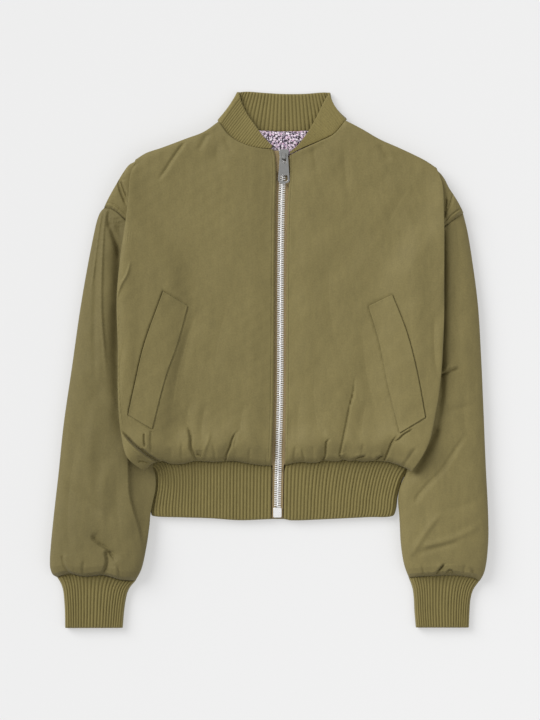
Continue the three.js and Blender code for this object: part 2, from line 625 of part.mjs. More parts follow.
// Cuffs
function cuff(outerSide, innerSide, seam) {
  const low = curve([outerSide.at(-1), innerSide.at(-1)]);
  const bulge = (u) => (Math.round(u * CUFF_RIBS * 2) % 2 ? 0 : RIB_RELIEF);
  return flatTube({
    edges: { left: curve(outerSide), right: curve(innerSide), bottom: seam, top: low },
    us: steps(CUFF_RIBS * 2),
    lowUs: steps(6),
    vs: [0, 0.06, 0.5, 0.94, 1],
    height: (v) => CUFF_HEIGHT * (v < 0.03 || v > 0.97 ? 0.86 : 1),
    sideRadius: 6,
    floorRadius: 6,
    slit: { inset: 0.08, half: 0.7, columns: 6, rows: 2 },
    shapeUp: (point, u) => bulge(u),
  });
}
const cuffLeft = cuff(LEFT_CUFF_OUTER, LEFT_CUFF_INNER, curve(LEFT_CUFF_TOP));
const cuffRight = cuff(RIGHT_CUFF_OUTER, RIGHT_CUFF_INNER, curve(RIGHT_CUFF_TOP));

// Hem band: from the zip round one side, across the back, round the other side and back to the zip.
// Runs: 0 left front, 1 left fold, 2 back, 3 right fold, 4 right front.
const HEM_HEIGHT = 2 * HEM_WALL + HEM_SLIT;
const HEM_ROWS = [0, 0.05, 0.16, 0.32, 0.62, 0.95, 1];
const HEM_INNER_ROWS = [0, 0.16, 0.32, 0.62, 1];
function hemPoint(position, down, outside) {
  const run = Math.min(4, Math.floor(position));
  const share = position - run;
  const left = lookUp(HEM_SIDES, down, 'down', 'left');
  const right = lookUp(HEM_SIDES, down, 'down', 'right');
  const roundEdge = down < 0.01 || down > 0.99 ? 0.7 : 1;
  const radius = outside ? HEM_HEIGHT / 2 - HEM_WALL / 2 * (1 - roundEdge) : HEM_SLIT / 2;
  const zip = lookUp(ZIP_MIDDLE, mix(-147, -217, down), 1, 0);
  const turn = Math.PI * share;
  const middle = HEM_HEIGHT / 2;
  const [x, z] = [
    [mix(zip - 8.6, left, share), middle + radius],
    [left - radius * Math.sin(turn), middle + radius * Math.cos(turn)],
    [mix(left, right, share), middle - radius],
    [right + radius * Math.sin(turn), middle - radius * Math.cos(turn)],
    [mix(right, zip + 8.6, share), middle + radius],
  ][run];
  const seam = lookUp(HEM_SEAM, x, 0, 1) - 2 * SEAM_GAP;
  return new THREE.Vector3(x, mix(seam, lookUp(HEM_FREE_EDGE, x, 0, 1), down), Math.max(0, z));
}
function hemGrid(counts, downs, outside) {
  const us = counts.flatMap((count, run) => steps(count).slice(run ? 1 : 0).map((t) => run + t));
  const grid = downs.map((down) => us.map((u, c) => {
    const point = hemPoint(u, down, outside);
    const onFront = u < 1 || u > 4;
    if (outside && onFront && c % 2 && down > 0.01 && down < 0.99) point.z += RIB_RELIEF;
    return point;
  }));
  return { grid, us, vs: downs };
}
const hemBand = shell(
  hemGrid([HEM_RIBS_PER_FRONT * 2, 4, 16, 4, HEM_RIBS_PER_FRONT * 2], HEM_ROWS, true),
  hemGrid([14, 2, 16, 2, 14], HEM_INNER_ROWS, false),
);

// Collar: a strip that starts at one end of the zip, folds over at each side and ends at the other
const seamLine = new THREE.CatmullRomCurve3(
  COLLAR_STATIONS.map(({ sx, sy, sz }) => new THREE.Vector3(sx, sy, sz)),
);
const freeLine = new THREE.CatmullRomCurve3(
  COLLAR_STATIONS.map(({ fx, fy, fz }) => new THREE.Vector3(fx, fy, fz)),
);
function collarGrid(downs, outside) {
  const samples = steps(600);
  const middle = samples.map((t) => seamLine.getPoint(t).lerp(freeLine.getPoint(t), 0.5));
  const lengths = [0];
  for (let i = 1; i < middle.length; i += 1) {
    lengths.push(lengths[i - 1] + middle[i].distanceTo(middle[i - 1]));
  }
  const us = steps(COLLAR_RIBS * 2).map((share) => {
    const wanted = share * lengths.at(-1);
    const next = Math.max(1, lengths.findIndex((length) => length >= wanted));
    const part = (wanted - lengths[next - 1]) / (lengths[next] - lengths[next - 1]);
    return mix(samples[next - 1], samples[next], clamp(part));
  });
  const grid = downs.map((down) => us.map((t, c) => {
    const point = seamLine.getPoint(t).lerp(freeLine.getPoint(t), down);
    const ahead = seamLine.getTangent(t).lerp(freeLine.getTangent(t), down);
    const normal = freeLine.getPoint(t).sub(seamLine.getPoint(t)).cross(ahead).normalize();
    const facing = clamp(outside ? normal.z : -normal.z);
    const edge = down === 0 || down === 1 ? 0.75 : 1;
    const rib = c % 2 ? RIB_RELIEF * 0.7 * facing * (edge < 1 ? 0.3 : 1) : 0;
    const reach = COLLAR_WALL / 2 * edge + rib;
    point.addScaledVector(normal, outside ? reach : -reach);
    point.x -= COLLAR_WAIST * 4 * down * (1 - down) * normal.x;
    point.z = Math.max(0, point.z);
    return point;
  }));
  return { grid, us, vs: downs };
}
const collar = shell(collarGrid([0, 0.5, 1], true), collarGrid([0, 0.5, 1], false));

// Lining, zip tapes and zip chain, each laid on what is under it
const ground = new Relief().add(back);
const lining = leaf({
  edges: Object.fromEntries(Object.entries(LINING).map(([edge, rows]) => [edge, curve(rows)])),
  us: steps(10),
  vs: steps(7),
  wall: LINING_WALL,
  relief: ground,
});
const zipGround = new Relief().add(back).add(lining).add(hemBand);
const zipMiddle = (y) => lookUp(ZIP_MIDDLE, y, 1, 0);
const zipRows = [
  -216, -200, -180, -165, -152, -146, -142, -138, -132, -124, -112, -90, -30,
  30, 90, 150, 210, 250, 262, 270, 281,
];
function zipFloor(y) {
  const across = [-7, -3.5, 0, 3.5, 7];
  const along = [-3, 0, 3];
  const spots = across.flatMap((dx) => along.map((dy) => zipGround.at(zipMiddle(y) + dx, y + dy)));
  return Math.max(...spots);
}
function zipStrip(from, to, low, high, inner, outer) {
  const rows = zipRows.filter((y) => y > from && y < to);
  const ys = [from, ...rows, to];
  const strip = (z) => ys.map((y) => [inner, outer].map((reach) => (
    new THREE.Vector3(zipMiddle(y) + reach(y), y, zipFloor(y) + z)
  )));
  const vs = steps(ys.length - 1);
  return shell({ grid: strip(high), us: [0, 1], vs }, { grid: strip(low), us: [0, 1], vs });
}
const tapeReach = (y) => mix(TAPE_REACH_AT_HEM, TAPE_REACH, smooth((y + 146) / 14));
const zipTape = (side, top) => zipStrip(
  TAPE_FOOT, top, TAPE_LIFT, TAPE_LIFT + TAPE_WALL,
  () => side * (CHAIN_WIDTH / 2 + 0.3), (y) => side * tapeReach(y),
);
const tapeLeft = zipTape(-1, 281);
const tapeRight = zipTape(1, 273);
const zipChain = zipStrip(
  CHAIN_FOOT, SLIDER.low - CHAIN_LIFT, CHAIN_LIFT, CHAIN_LIFT + CHAIN_HEIGHT,
  () => -CHAIN_WIDTH / 2, () => CHAIN_WIDTH / 2,
);

// Fronts: each a padded slab over the back and the inner half of its sleeve, with the cap of the
// drop shoulder joined on beside its folded edge
const frontGround = new Relief().add(back).add(lining).add(sleeveLeft).add(sleeveRight)
  .add(tapeLeft).add(tapeRight);
const capGround = new Relief().add(back);
const STEP_SINK = 3.5;
const SHOULDER_SHARE = 14 / 24;
const FRONT_ROWS = steps(30).map((t) => mix(t ** 1.35, t, 0.45));
const FRONT_UNDER_ROWS = [
  0, 0.02, 0.05, 0.1, 0.16, 0.24, 0.32, 0.4, 0.48, 0.56, 0.64, 0.72, 0.8, 0.88, 0.94, 0.975, 1,
];
function cap(seam, outline, inner) {
  const outerEnd = curve([seam(0).toArray(), outline(0).toArray()]);
  const edges = { bottom: seam, top: outline, left: outerEnd, right: curve(inner) };
  return slab({
    edges,
    us: steps(9),
    vs: steps(7),
    underUs: steps(9),
    underVs: steps(7),
    relief: capGround,
    rule: (point, far) => {
      const base = capGround.draped(point.x, point.y, 2.5, 4) + REST_GAP;
      const soft = quarter(far.top, FOLD_ROUND) * quarter(far.left, CAP_FOLD_ROUND);
      const low = base + (CAP_WALL - SEAM_RIM) / 2 * (1 - soft);
      const full = CAP_WALL * (1 + soft) / 2 * mix(0.55, 1, quarter(far.bottom, 9));
      return { low, high: low + Math.max(SEAM_RIM, full) };
    },
  });
}
// The cap, and its outer part alone, which the front drapes over
function capAndStep(armhole, outline, { seam, inner, stepSeam, stepOutline }) {
  const upTo = (path, share) => (t) => path(t * share);
  const stepEnd = [armhole(stepSeam).toArray(), outline(stepOutline).toArray()];
  return {
    whole: cap(upTo(armhole, seam), outline, [armhole(seam).toArray(), inner]),
    step: cap(upTo(armhole, stepSeam), upTo(outline, stepOutline), stepEnd),
  };
}
function front({ edges, folds, gathers, shoulderCap, zipSide }) {
  const drape = new Relief().add(back).add(sleeveLeft).add(sleeveRight)
    .add(shoulderCap.step, -STEP_SINK);
  const rule = (point, far) => {
    const near = far[zipSide];
    const foldSide = far[zipSide === 'right' ? 'left' : 'right'];
    const base = drape.draped(point.x, point.y, 5, 30) + REST_GAP;
    const blouse = BLOUSE.rise * Math.exp(-(((far.bottom - BLOUSE.from) / BLOUSE.spread) ** 2));
    const wall = FRONT_WALL + blouse;
    const soft = quarter(foldSide, FOLD_ROUND) * quarter(far.top, SHOULDER_ROUND);
    const seams = quarter(far.bottom, FRONT_HEM_ROUND) * mix(0.45, 1, quarter(near, ZIP_EDGE_ROUND));
    const low = base + (wall - SEAM_RIM) / 2 * (1 - soft);
    const full = wall * (1 + soft) / 2 * seams;
    const pinch = gathers.reduce((sum, { x, reach, width, depth }) => (
      sum + depth * Math.exp(-(((point.x - x) / width) ** 2) - (far.bottom / reach) ** 2)
    ), 0);
    const creases = (troughs(folds, point.x, point.y) + pinch) * soft * seams;
    return { low, high: low + Math.max(SEAM_RIM, full - creases) };
  };
  const panel = slab({
    edges,
    us: steps(24),
    vs: FRONT_ROWS,
    underUs: steps(12),
    underVs: FRONT_UNDER_ROWS,
    rule,
    relief: frontGround,
  });
  return fromBody(toBody(panel).add(toBody(shoulderCap.whole)));
}
const hemAt = curve(HEM_SEAM);
const leftArmhole = beside(curve(LEFT_ARMHOLE), ARMHOLE_GAP);
const rightArmhole = beside(curve(RIGHT_ARMHOLE), -ARMHOLE_GAP);
const leftOutline = curve([[-224.2, 206.2], ...LEFT_CAP.slice(1, -1), [-182.3, 265.5], [-160, 267]]);
const rightOutline = curve([
  [259.6, 199.6], ...[...RIGHT_CAP].reverse().slice(1, -1), [224.1, 254], [204, 257],
]);
const capLeft = capAndStep(leftArmhole, leftOutline, LEFT_CAP_REACH);
const capRight = capAndStep(rightArmhole, rightOutline, RIGHT_CAP_REACH);
const frontLeft = front({
  edges: {
    bottom: curve(HEM_SEAM.slice(0, 7)),
    top: joined(curve(LEFT_SHOULDER), curve(LEFT_NECK), SHOULDER_SHARE),
    left: curve(LEFT_FOLD),
    right: curve(LEFT_ZIP_EDGE),
  },
  zipSide: 'right',
  folds: LEFT_FRONT_FOLDS,
  gathers: LEFT_GATHERS,
  shoulderCap: capLeft,
});
const frontRight = front({
  edges: {
    bottom: curve(HEM_SEAM.slice(7)),
    top: joined(
      curve([...RIGHT_NECK].reverse()), curve([...RIGHT_SHOULDER].reverse()), 1 - SHOULDER_SHARE,
    ),
    left: curve(RIGHT_ZIP_EDGE),
    right: curve(RIGHT_FOLD),
  },
  zipSide: 'left',
  folds: RIGHT_FRONT_FOLDS,
  gathers: RIGHT_GATHERS,
  shoulderCap: capRight,
});

// Pocket welts laid on the fronts
const welt = (side, panel) => leaf({
  edges: Object.fromEntries(Object.entries(side).map(([edge, rows]) => [edge, curve(rows)])),
  us: steps(4),
  vs: steps(14),
  wall: WELT_WALL,
  relief: new Relief().add(panel),
  gap: 0.3,
});
const weltLeft = welt(LEFT_WELT, frontLeft);
const weltRight = welt(RIGHT_WELT, frontRight);

// Zip hardware. Plates are outlines with rounded edges, standing on the plane z = 0.
function plate(outline, holes, height, bevel) {
  const shape = new THREE.Shape(outline.map(([x, y]) => new THREE.Vector2(x, y)));
  shape.holes = holes.map((rows) => new THREE.Path(rows.map(([x, y]) => new THREE.Vector2(x, y))));
  const geometry = new THREE.ExtrudeGeometry(shape, {
    depth: height - 2 * bevel,
    bevelEnabled: true,
    bevelThickness: bevel,
    bevelSize: bevel,
    bevelOffset: -bevel,
    bevelSegments: 2,
  });
  geometry.deleteAttribute('normal');
  geometry.deleteAttribute('uv');
  return mergeVertices(geometry.translate(0, 0, bevel), 1e-4);
}

// Rounded box outline between two corners, narrower at one end where asked
function roundedOutline(halfLow, low, halfHigh, high, radius) {
  const corners = [
    [-halfLow, low, 180], [halfLow, low, 270], [halfHigh, high, 0], [-halfHigh, high, 90],
  ];
  return corners.flatMap(([x, y, start]) => [0, 30, 60, 90].map((step) => {
    const turn = (start + step) * Math.PI / 180;
    const inward = [x - Math.sign(x) * radius, y + (y === low ? radius : -radius)];
    return [inward[0] + radius * Math.cos(turn), inward[1] + radius * Math.sin(turn)];
  }));
}

const boxBase = zipFloor(BOX_SIZE.y) + TAPE_LIFT + TAPE_WALL + 0.3;
const boxHalf = [BOX_SIZE.width / 2, BOX_SIZE.length / 2];
const stopBox = plate(
  roundedOutline(boxHalf[0], -boxHalf[1], boxHalf[0], boxHalf[1], 1.6), [], BOX_SIZE.height - 1, 0.5,
).translate(zipMiddle(BOX_SIZE.y), BOX_SIZE.y, boxBase);

// Slider: a plate wider at the top, with a bridge over it that holds the pull tab
const sliderPlate = plate(
  roundedOutline(SLIDER.lowWidth / 2, SLIDER.low, SLIDER.highWidth / 2, SLIDER.high, 2.2),
  [], SLIDER.height, 0.8,
).translate(SLIDER.x, 0, SLIDER.base);
const bridgeRun = BRIDGE.high - BRIDGE.low;
const underRun = bridgeRun - BRIDGE.bar;
const underRise = BRIDGE.rise - BRIDGE.bar;
const bridgeOutline = [
  [0, -1], [0, BRIDGE.rise - 1.4], [1.3, BRIDGE.rise],
  [bridgeRun - 1.8, BRIDGE.rise], [bridgeRun, BRIDGE.rise - 1.8], [bridgeRun, -1],
  [underRun, -1], [underRun, underRise - 0.7], [underRun - 0.7, underRise],
  [BRIDGE.bar + 0.5, underRise], [BRIDGE.bar, underRise - 0.5], [BRIDGE.bar, -1],
];
const bridge = plate(bridgeOutline, [], BRIDGE.width, 0.3)
  .applyMatrix4(new THREE.Matrix4().makeBasis(
    new THREE.Vector3(0, 1, 0), new THREE.Vector3(0, 0, 1), new THREE.Vector3(1, 0, 0),
  ))
  .translate(SLIDER.x - BRIDGE.width / 2, BRIDGE.low, SLIDER.base + SLIDER.height);
const slider = fromBody(toBody(sliderPlate).add(toBody(bridge)));

// Pull tab, drawn hanging along -y from its hinge at the origin: a bar, a slot for the bridge, a
// plate that widens toward its end and a round-cornered window near the end
const tabEnd = -TAB.length;
const tabOutline = roundedOutline(TAB.endWidth / 2, tabEnd, TAB.topWidth / 2, 0.9, 0.85).slice(8);
const tabTip = [0, 20, 40, 60, 80, 100, 120, 140, 160, 180].map((degrees) => {
  const turn = Math.PI + degrees * Math.PI / 180;
  return [TAB.endWidth / 2 * Math.cos(turn), tabEnd + 4.6 + 4.6 * Math.sin(turn)];
});
const slotHalf = TAB.slotWidth / 2;
const tabSlot = roundedOutline(slotHalf, -TAB.slotLength, slotHalf, -0.9, 0.8).reverse();
const tabWindow = roundedOutline(5, tabEnd + 3.2, 5, tabEnd + 11.6, 2.4).reverse();
const pullTab = plate([...tabTip, ...tabOutline], [tabSlot, tabWindow], TAB.wall, 0.35)
  .translate(0, 0, -TAB.wall / 2);

const group = new THREE.Group();
const CLOTH = { color: 0x827848, roughness: 0.78, metalness: 0 };
const KNIT = { color: 0x7b7040, roughness: 0.92, metalness: 0 };
const METAL = { color: 0xb9b9b6, roughness: 0.3, metalness: 1 };
const GREY_METAL = { color: 0x8f8f8e, roughness: 0.35, metalness: 1 };
const LINING_CLOTH = { color: 0x3a2a35, roughness: 0.6, metalness: 0 };
const TAPE_CLOTH = { color: 0x7a7040, roughness: 0.8, metalness: 0 };
function add(name, geometry, look) {
  const mesh = new THREE.Mesh(geometry, new THREE.MeshStandardMaterial(look));
  mesh.name = name;
  group.add(mesh);
  return mesh;
}
add('back', back, CLOTH);
add('sleeve_left', sleeveLeft, CLOTH);
add('sleeve_right', sleeveRight, CLOTH);
add('cuff_left', cuffLeft, KNIT);
add('cuff_right', cuffRight, KNIT);
add('hem_band', hemBand, KNIT);
add('collar', collar, KNIT);
add('lining_back', lining, LINING_CLOTH);
add('zip_tape_left', tapeLeft, TAPE_CLOTH);
add('zip_tape_right', tapeRight, TAPE_CLOTH);
add('zip_chain', zipChain, METAL);
add('front_left', frontLeft, CLOTH);
add('front_right', frontRight, CLOTH);
add('welt_left', weltLeft, CLOTH);
add('welt_right', weltRight, CLOTH);
add('zip_stop', stopBox, METAL);
add('zip_slider', slider, METAL);
const tab = add('pull_tab', pullTab, GREY_METAL);
tab.position.set(HINGE.x, HINGE.y, HINGE.z);
tab.rotation.x = TAB.tilt * Math.PI / 180;
export default group;
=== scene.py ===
# %% [markdown]
# # A padded bomber jacket, laid flat
# The jacket lies on its back on a pale surface, zipped up, with its sleeves beside the body.
#
# Such a jacket could be draped by a cloth simulation. Here every piece is computed from its outline
# instead, because in a flat lay each fold and seam has a known place, and a formula puts it there.

# %% Load the frame
import math
import bpy
import numpy as np
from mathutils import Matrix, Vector


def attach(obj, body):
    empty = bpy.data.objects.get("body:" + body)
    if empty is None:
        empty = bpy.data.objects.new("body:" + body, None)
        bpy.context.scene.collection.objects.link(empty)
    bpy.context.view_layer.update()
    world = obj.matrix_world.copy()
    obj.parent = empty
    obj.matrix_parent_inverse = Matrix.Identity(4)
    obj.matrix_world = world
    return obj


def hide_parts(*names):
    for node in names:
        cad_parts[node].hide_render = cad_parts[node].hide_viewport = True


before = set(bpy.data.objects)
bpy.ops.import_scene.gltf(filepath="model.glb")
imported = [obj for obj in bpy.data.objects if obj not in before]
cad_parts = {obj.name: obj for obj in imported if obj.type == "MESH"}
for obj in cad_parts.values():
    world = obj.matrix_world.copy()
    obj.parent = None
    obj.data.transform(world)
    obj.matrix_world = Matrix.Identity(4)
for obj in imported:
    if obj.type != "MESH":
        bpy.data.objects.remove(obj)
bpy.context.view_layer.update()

# %% [markdown]
# ## Camera
# A flat lay is photographed from straight above. A wide lens close up would make the middle of the
# jacket look larger than its sleeves, so a long lens looks down from a few metres. The picture is
# 972 mm tall at the cloth; the focal length follows from that height, the sensor's long side and
# the distance.

# %% Camera above the jacket
CAMERA_HEIGHT, CLOTH_HEIGHT, PICTURE_HEIGHT, SENSOR = 3.2, 0.02, 0.972, 36
camera_data = bpy.data.cameras.new("camera_above")
camera_data.sensor_width = SENSOR
camera_data.lens = SENSOR * (CAMERA_HEIGHT - CLOTH_HEIGHT) / PICTURE_HEIGHT
camera = bpy.data.objects.new("camera_above", camera_data)
camera.location = (-0.0007, -0.002, CAMERA_HEIGHT)
bpy.context.scene.collection.objects.link(camera)
bpy.context.scene.camera = camera
print("lens", round(camera_data.lens, 1), "mm at", CAMERA_HEIGHT, "m")

# %% [markdown]
# ## Curves
# Every piece of cloth starts as an outline. Its curves could be drawn with Bezier handles; a short
# list of points is easier to read and to correct. A centripetal Catmull-Rom spline goes smoothly
# through all of them and makes no loops where points lie close together.

# %% Smooth curves
def curve(rows):
    """Path t -> point: a Hermite cubic per span, with centripetal tangents, evened out by length."""
    points = np.array(rows, float)
    points = np.vstack([2 * points[0] - points[1], points, 2 * points[-1] - points[-2]])
    step = np.maximum(np.linalg.norm(np.diff(points, axis=0), axis=1) ** 0.5, 1e-4)[:, None]
    p0, p1, p2, p3 = points[:-3], points[1:-2], points[2:-1], points[3:]
    d0, d1, d2 = step[:-2], step[1:-1], step[2:]
    leave = ((p1 - p0) / d0 - (p2 - p0) / (d0 + d1) + (p2 - p1) / d1) * d1
    arrive = ((p2 - p1) / d1 - (p3 - p1) / (d1 + d2) + (p3 - p2) / d2) * d1
    s = np.linspace(0, 1, 40, endpoint=False)[None, :, None]
    dense = ((2 * s**3 - 3 * s**2 + 1) * p1[:, None] + (s**3 - 2 * s**2 + s) * leave[:, None]
             + (-2 * s**3 + 3 * s**2) * p2[:, None] + (s**3 - s**2) * arrive[:, None])
    dense = np.vstack([dense.reshape(-1, points.shape[1]), points[-2]])
    length = np.r_[0, np.cumsum(np.linalg.norm(np.diff(dense, axis=0), axis=1))]
    length /= length[-1]
    return lambda t: np.stack([np.interp(np.clip(t, 0, 1), length, column) for column in dense.T], -1)


def joined(first, second, share):
    """Two paths one after the other; the corner between them sits at share."""
    def path(t):
        t = np.asarray(t, float)
        return np.where((t <= share)[..., None], first(t / share), second((t - share) / (1 - share)))
    return path


def beside(path, distance):
    """Path moved to its left: p + d * (-ty, tx), with t the unit tangent."""
    def moved(t):
        t = np.asarray(t, float)
        ahead = path(np.clip(t + 0.01, 0, 1)) - path(np.clip(t - 0.01, 0, 1))
        ahead /= np.linalg.norm(ahead, axis=-1, keepdims=True)
        return path(t) + distance * np.stack([-ahead[..., 1], ahead[..., 0]], -1)
    return moved


def look_up(rows):
    """Smooth height function y(x) through the rows, which run from left to right."""
    samples = curve(rows)(np.linspace(0, 1, 400))
    return lambda x: np.interp(x, samples[:, 0], samples[:, 1])


print("halfway round a bend:", curve([(0, 0), (1, 0), (1, 1)])(0.5).round(3))

# %% [markdown]
# ## Patches
# A panel is the space between four curves. It could be filled with triangles from the edges inward,
# but a Coons patch, a blend of opposite edges, gives an even grid on which every crease, rib and
# rounding can be computed at once. The distance of each grid point to the four edges then says
# where the cloth rounds over and where a seam holds it down.

# %% Patches and edge distances
def patch(edges, us, vs):
    """P(u,v) = (1-v)B(u) + vT(u) + (1-u)L(v) + uR(v) - bilinear blend of the corners."""
    bottom, top = edges["bottom"](us)[None], edges["top"](us)[None]
    left, right = edges["left"](vs)[:, None], edges["right"](vs)[:, None]
    u, v = us[None, :, None], vs[:, None, None]
    corners = ((1 - v) * ((1 - u) * bottom[:, :1] + u * bottom[:, -1:])
               + v * ((1 - u) * top[:, :1] + u * top[:, -1:]))
    return (1 - v) * bottom + v * top + (1 - u) * left + u * right - corners


def reach(grid):
    """Distance of each point to the same row's or column's end, for the four edges."""
    far = lambda other: np.linalg.norm(grid[..., :2] - other[..., :2], axis=-1)
    return {"left": far(grid[:, :1]), "right": far(grid[:, -1:]),
            "bottom": far(grid[:1]), "top": far(grid[-1:])}


def quarter(distance, radius):
    """Quarter ellipse: 0 at the edge, 1 from radius inward."""
    return np.sqrt(1 - (1 - np.clip(distance / radius, 0, 1)) ** 2)


def smooth(t):
    """3t^2 - 2t^3 between 0 and 1."""
    t = np.clip(t, 0, 1)
    return t * t * (3 - 2 * t)


def crowded(count, crowd):
    """Parameters from 0 to 1, closer together near both ends: t - crowd * sin(2 pi t) / 2 pi."""
    t = np.linspace(0, 1, count + 1)
    return t - crowd * np.sin(2 * np.pi * t) / (2 * np.pi)


print("a rounded edge at a tenth of its radius has", round(float(quarter(0.1, 1)), 2), "of its height")

# %% [markdown]
# ## Closed skins
# Cloth has an outside, an inside and an edge between them. A Solidify modifier could add the inside;
# two grids are used instead, because the inside of a thick piece may be much coarser than its face
# and have a form of its own. Their borders are stitched together with triangles.

# %% Closing two grids into one skin
def stitch(a, ta, b, tb):
    """Triangles between two rows of vertices, taken in the order of their parameters."""
    order = np.argsort(np.r_[ta[1:], tb[1:]], kind="stable")
    from_a = order < len(a) - 1
    done_a, done_b = np.cumsum(from_a), np.cumsum(~from_a)
    i, j = done_a[from_a] - 1, done_b[from_a]
    k, n = done_b[~from_a] - 1, done_a[~from_a]
    return np.vstack([np.c_[a[i + 1], a[i], b[j]], np.c_[b[k], b[k + 1], a[n]]])


def shell(outer, inner, wrap=False):
    """One closed skin from two (grid, us, vs), outside and inside; wrap joins the last column to
    the first, for a tube."""
    (og, ou, ov), (ng, nu, nv) = outer, inner
    o = np.arange(og.shape[0] * og.shape[1]).reshape(og.shape[:2])
    n = np.arange(ng.shape[0] * ng.shape[1]).reshape(ng.shape[:2]) + o.size
    if wrap:
        o, n = np.c_[o, o[:, :1]], np.c_[n, n[:, :1]]
        ou, nu = np.r_[ou, ou[0] + 1], np.r_[nu, nu[0] + 1]
    quads = [np.stack([o[:-1, :-1], o[:-1, 1:], o[1:, 1:], o[1:, :-1]], -1).reshape(-1, 4),
             np.stack([n[:-1, :-1], n[1:, :-1], n[1:, 1:], n[:-1, 1:]], -1).reshape(-1, 4)]
    tris = [stitch(o[0], ou, n[0], nu), stitch(o[-1, ::-1], -ou[::-1], n[-1, ::-1], -nu[::-1])]
    if not wrap:
        tris += [stitch(o[::-1, 0], -ov[::-1], n[::-1, 0], -nv[::-1]),
                 stitch(o[:, -1], ov, n[:, -1], nv)]
    points = np.vstack([og.reshape(-1, 3), ng.reshape(-1, 3)])
    return points, np.vstack(quads), np.vstack(tris)


def merged(*skins):
    """Several closed skins as one list of points and faces."""
    offsets = np.cumsum([0] + [len(points) for points, _, _ in skins])
    return (np.vstack([points for points, _, _ in skins]),
            np.vstack([quads + k for (_, quads, _), k in zip(skins, offsets)]),
            np.vstack([tris + k for (_, _, tris), k in zip(skins, offsets)]))


def turned_out(skin):
    """Faces turned outward: the signed volume, sum of a . (b x c) / 6, has to be positive."""
    points, quads, tris = skin
    cut = np.vstack([quads[:, [0, 1, 2]], quads[:, [0, 2, 3]], tris]) if len(quads) else tris
    a, b, c = (points[cut[:, k]] for k in range(3))
    if np.einsum("ij,ij->i", a, np.cross(b, c)).sum() < 0:
        quads, tris = quads[:, ::-1], tris[:, ::-1]
    return points, quads, tris


print("two rows of 3 and 5 vertices are stitched with",
      len(stitch(np.arange(3), np.linspace(0, 1, 3), np.arange(5), np.linspace(0, 1, 5))), "triangles")

# %% From a skin to an object
MILLIMETRES = 1000.0


def piece(name, skin, material, nodes, body="jacket"):
    """Mesh object from a skin in millimetres, riding on its body in place of the named solids."""
    points, quads, tris = turned_out(skin)
    mesh = bpy.data.meshes.new(name)
    mesh.from_pydata((points / MILLIMETRES).tolist(), [], quads.tolist() + tris.tolist())
    mesh.polygons.foreach_set("use_smooth", np.ones(len(mesh.polygons), bool))
    mesh.update()
    made = bpy.data.objects.new(name, mesh)
    bpy.context.scene.collection.objects.link(made)
    made.data.materials.append(material)
    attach(made, body)
    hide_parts(*nodes)
    print(name, len(quads) * 2 + len(tris), "triangles")
    return made


# %% [markdown]
# ## Shader expressions
# A pattern on cloth is a little sum, such as clouds plus flecks plus streaks. It could be wired up
# node by node; the small class below lets it be written as an ordinary expression, so that each
# line reads like the pattern it makes. Colors don't go through the sum: a Mix node blends them.

# %% Sockets with arithmetic
class Socket:
    """One output of a shader node; + - * / on it add Math nodes."""

    def __init__(self, shader, output):
        self.shader, self.output = shader, output

    def maths(self, operation, *values):
        return self.shader.maths(operation, self, *values)

    def sibling(self, name):
        """Another output of the same node."""
        return Socket(self.shader, self.output.node.outputs[name])

    def __add__(self, other): return self.maths("ADD", other)
    def __sub__(self, other): return self.maths("SUBTRACT", other)
    def __mul__(self, other): return self.maths("MULTIPLY", other)
    def __truediv__(self, other): return self.maths("DIVIDE", other)
    def __rsub__(self, other): return self.shader.maths("SUBTRACT", other, self)
    __radd__, __rmul__ = __add__, __mul__


class Shader:
    """One material's tree: node(type, settings, *inputs, output=, **named inputs) adds a node."""

    def __init__(self, tree):
        self.tree = tree

    def plug(self, entry, value):
        """Link a Socket to the entry, or set the entry to a constant."""
        if isinstance(value, Socket):
            self.tree.links.new(value.output, entry)
        else:
            entry.default_value = value

    def node(self, kind, settings=None, *inputs, output=0, **named):
        made = self.tree.nodes.new(kind)
        for key, value in (settings or {}).items():
            setattr(made, key, value)
        pairs = list(enumerate(inputs)) + [(key.replace("_", " "), value) for key, value in named.items()]
        for key, value in pairs:
            self.plug(made.inputs[key], value)
        return Socket(self, made.outputs[output])

    def maths(self, operation, *values):
        return self.node("ShaderNodeMath", {"operation": operation}, *values)

    def blend(self, factor, low, high):
        """Color low where factor is 0, high where it is 1."""
        made = self.node("ShaderNodeMix", {"data_type": "RGBA", "clamp_factor": True}, output=2,
                         Factor=factor)
        self.plug(made.output.node.inputs[6], low)
        self.plug(made.output.node.inputs[7], high)
        return made


def material(name, color, roughness, metallic=0.0, **constants):
    """Material whose surface has these constants; gives it with its sockets and its shader."""
    made = bpy.data.materials.new(name)
    made.use_nodes = True
    entries = made.node_tree.nodes["Principled BSDF"].inputs
    entries["Base Color"].default_value = (*color, 1)
    entries["Roughness"].default_value = roughness
    entries["Metallic"].default_value = metallic
    for key, value in constants.items():
        entries[key.replace("_", " ")].default_value = value
    made.diffuse_color = (*color, 1)
    return made, entries, Shader(made.node_tree)


def toned(color, share):
    """The color times share, never above 1, with full alpha."""
    return tuple(min(1.0, share * c) for c in color) + (1,)


print("half of white:", toned((1, 1, 1), 0.5))

# %% [markdown]
# ## Shell cloth, rib knit and tape
# The shell is a fine olive twill with a faint sheen, the ribs are a matt knit of the same dye, and
# the zip tapes are a plain tan weave. A photographed texture would slide over the folds and show
# its repeat. The cloths here are computed at each point instead: slow clouds of shade, fine flecks
# and slanting streaks for the color, and ridges one weave apart for the relief. The left sleeve gets
# a copy of the twill at 0.84 of its color: painted shade, so that it looks darker than the body beside it.

# %% Olive twill, rib knit and tape
OLIVE = (0.192, 0.157, 0.058)
KNIT = (0.205, 0.166, 0.054)
TAN = (0.29, 0.215, 0.105)


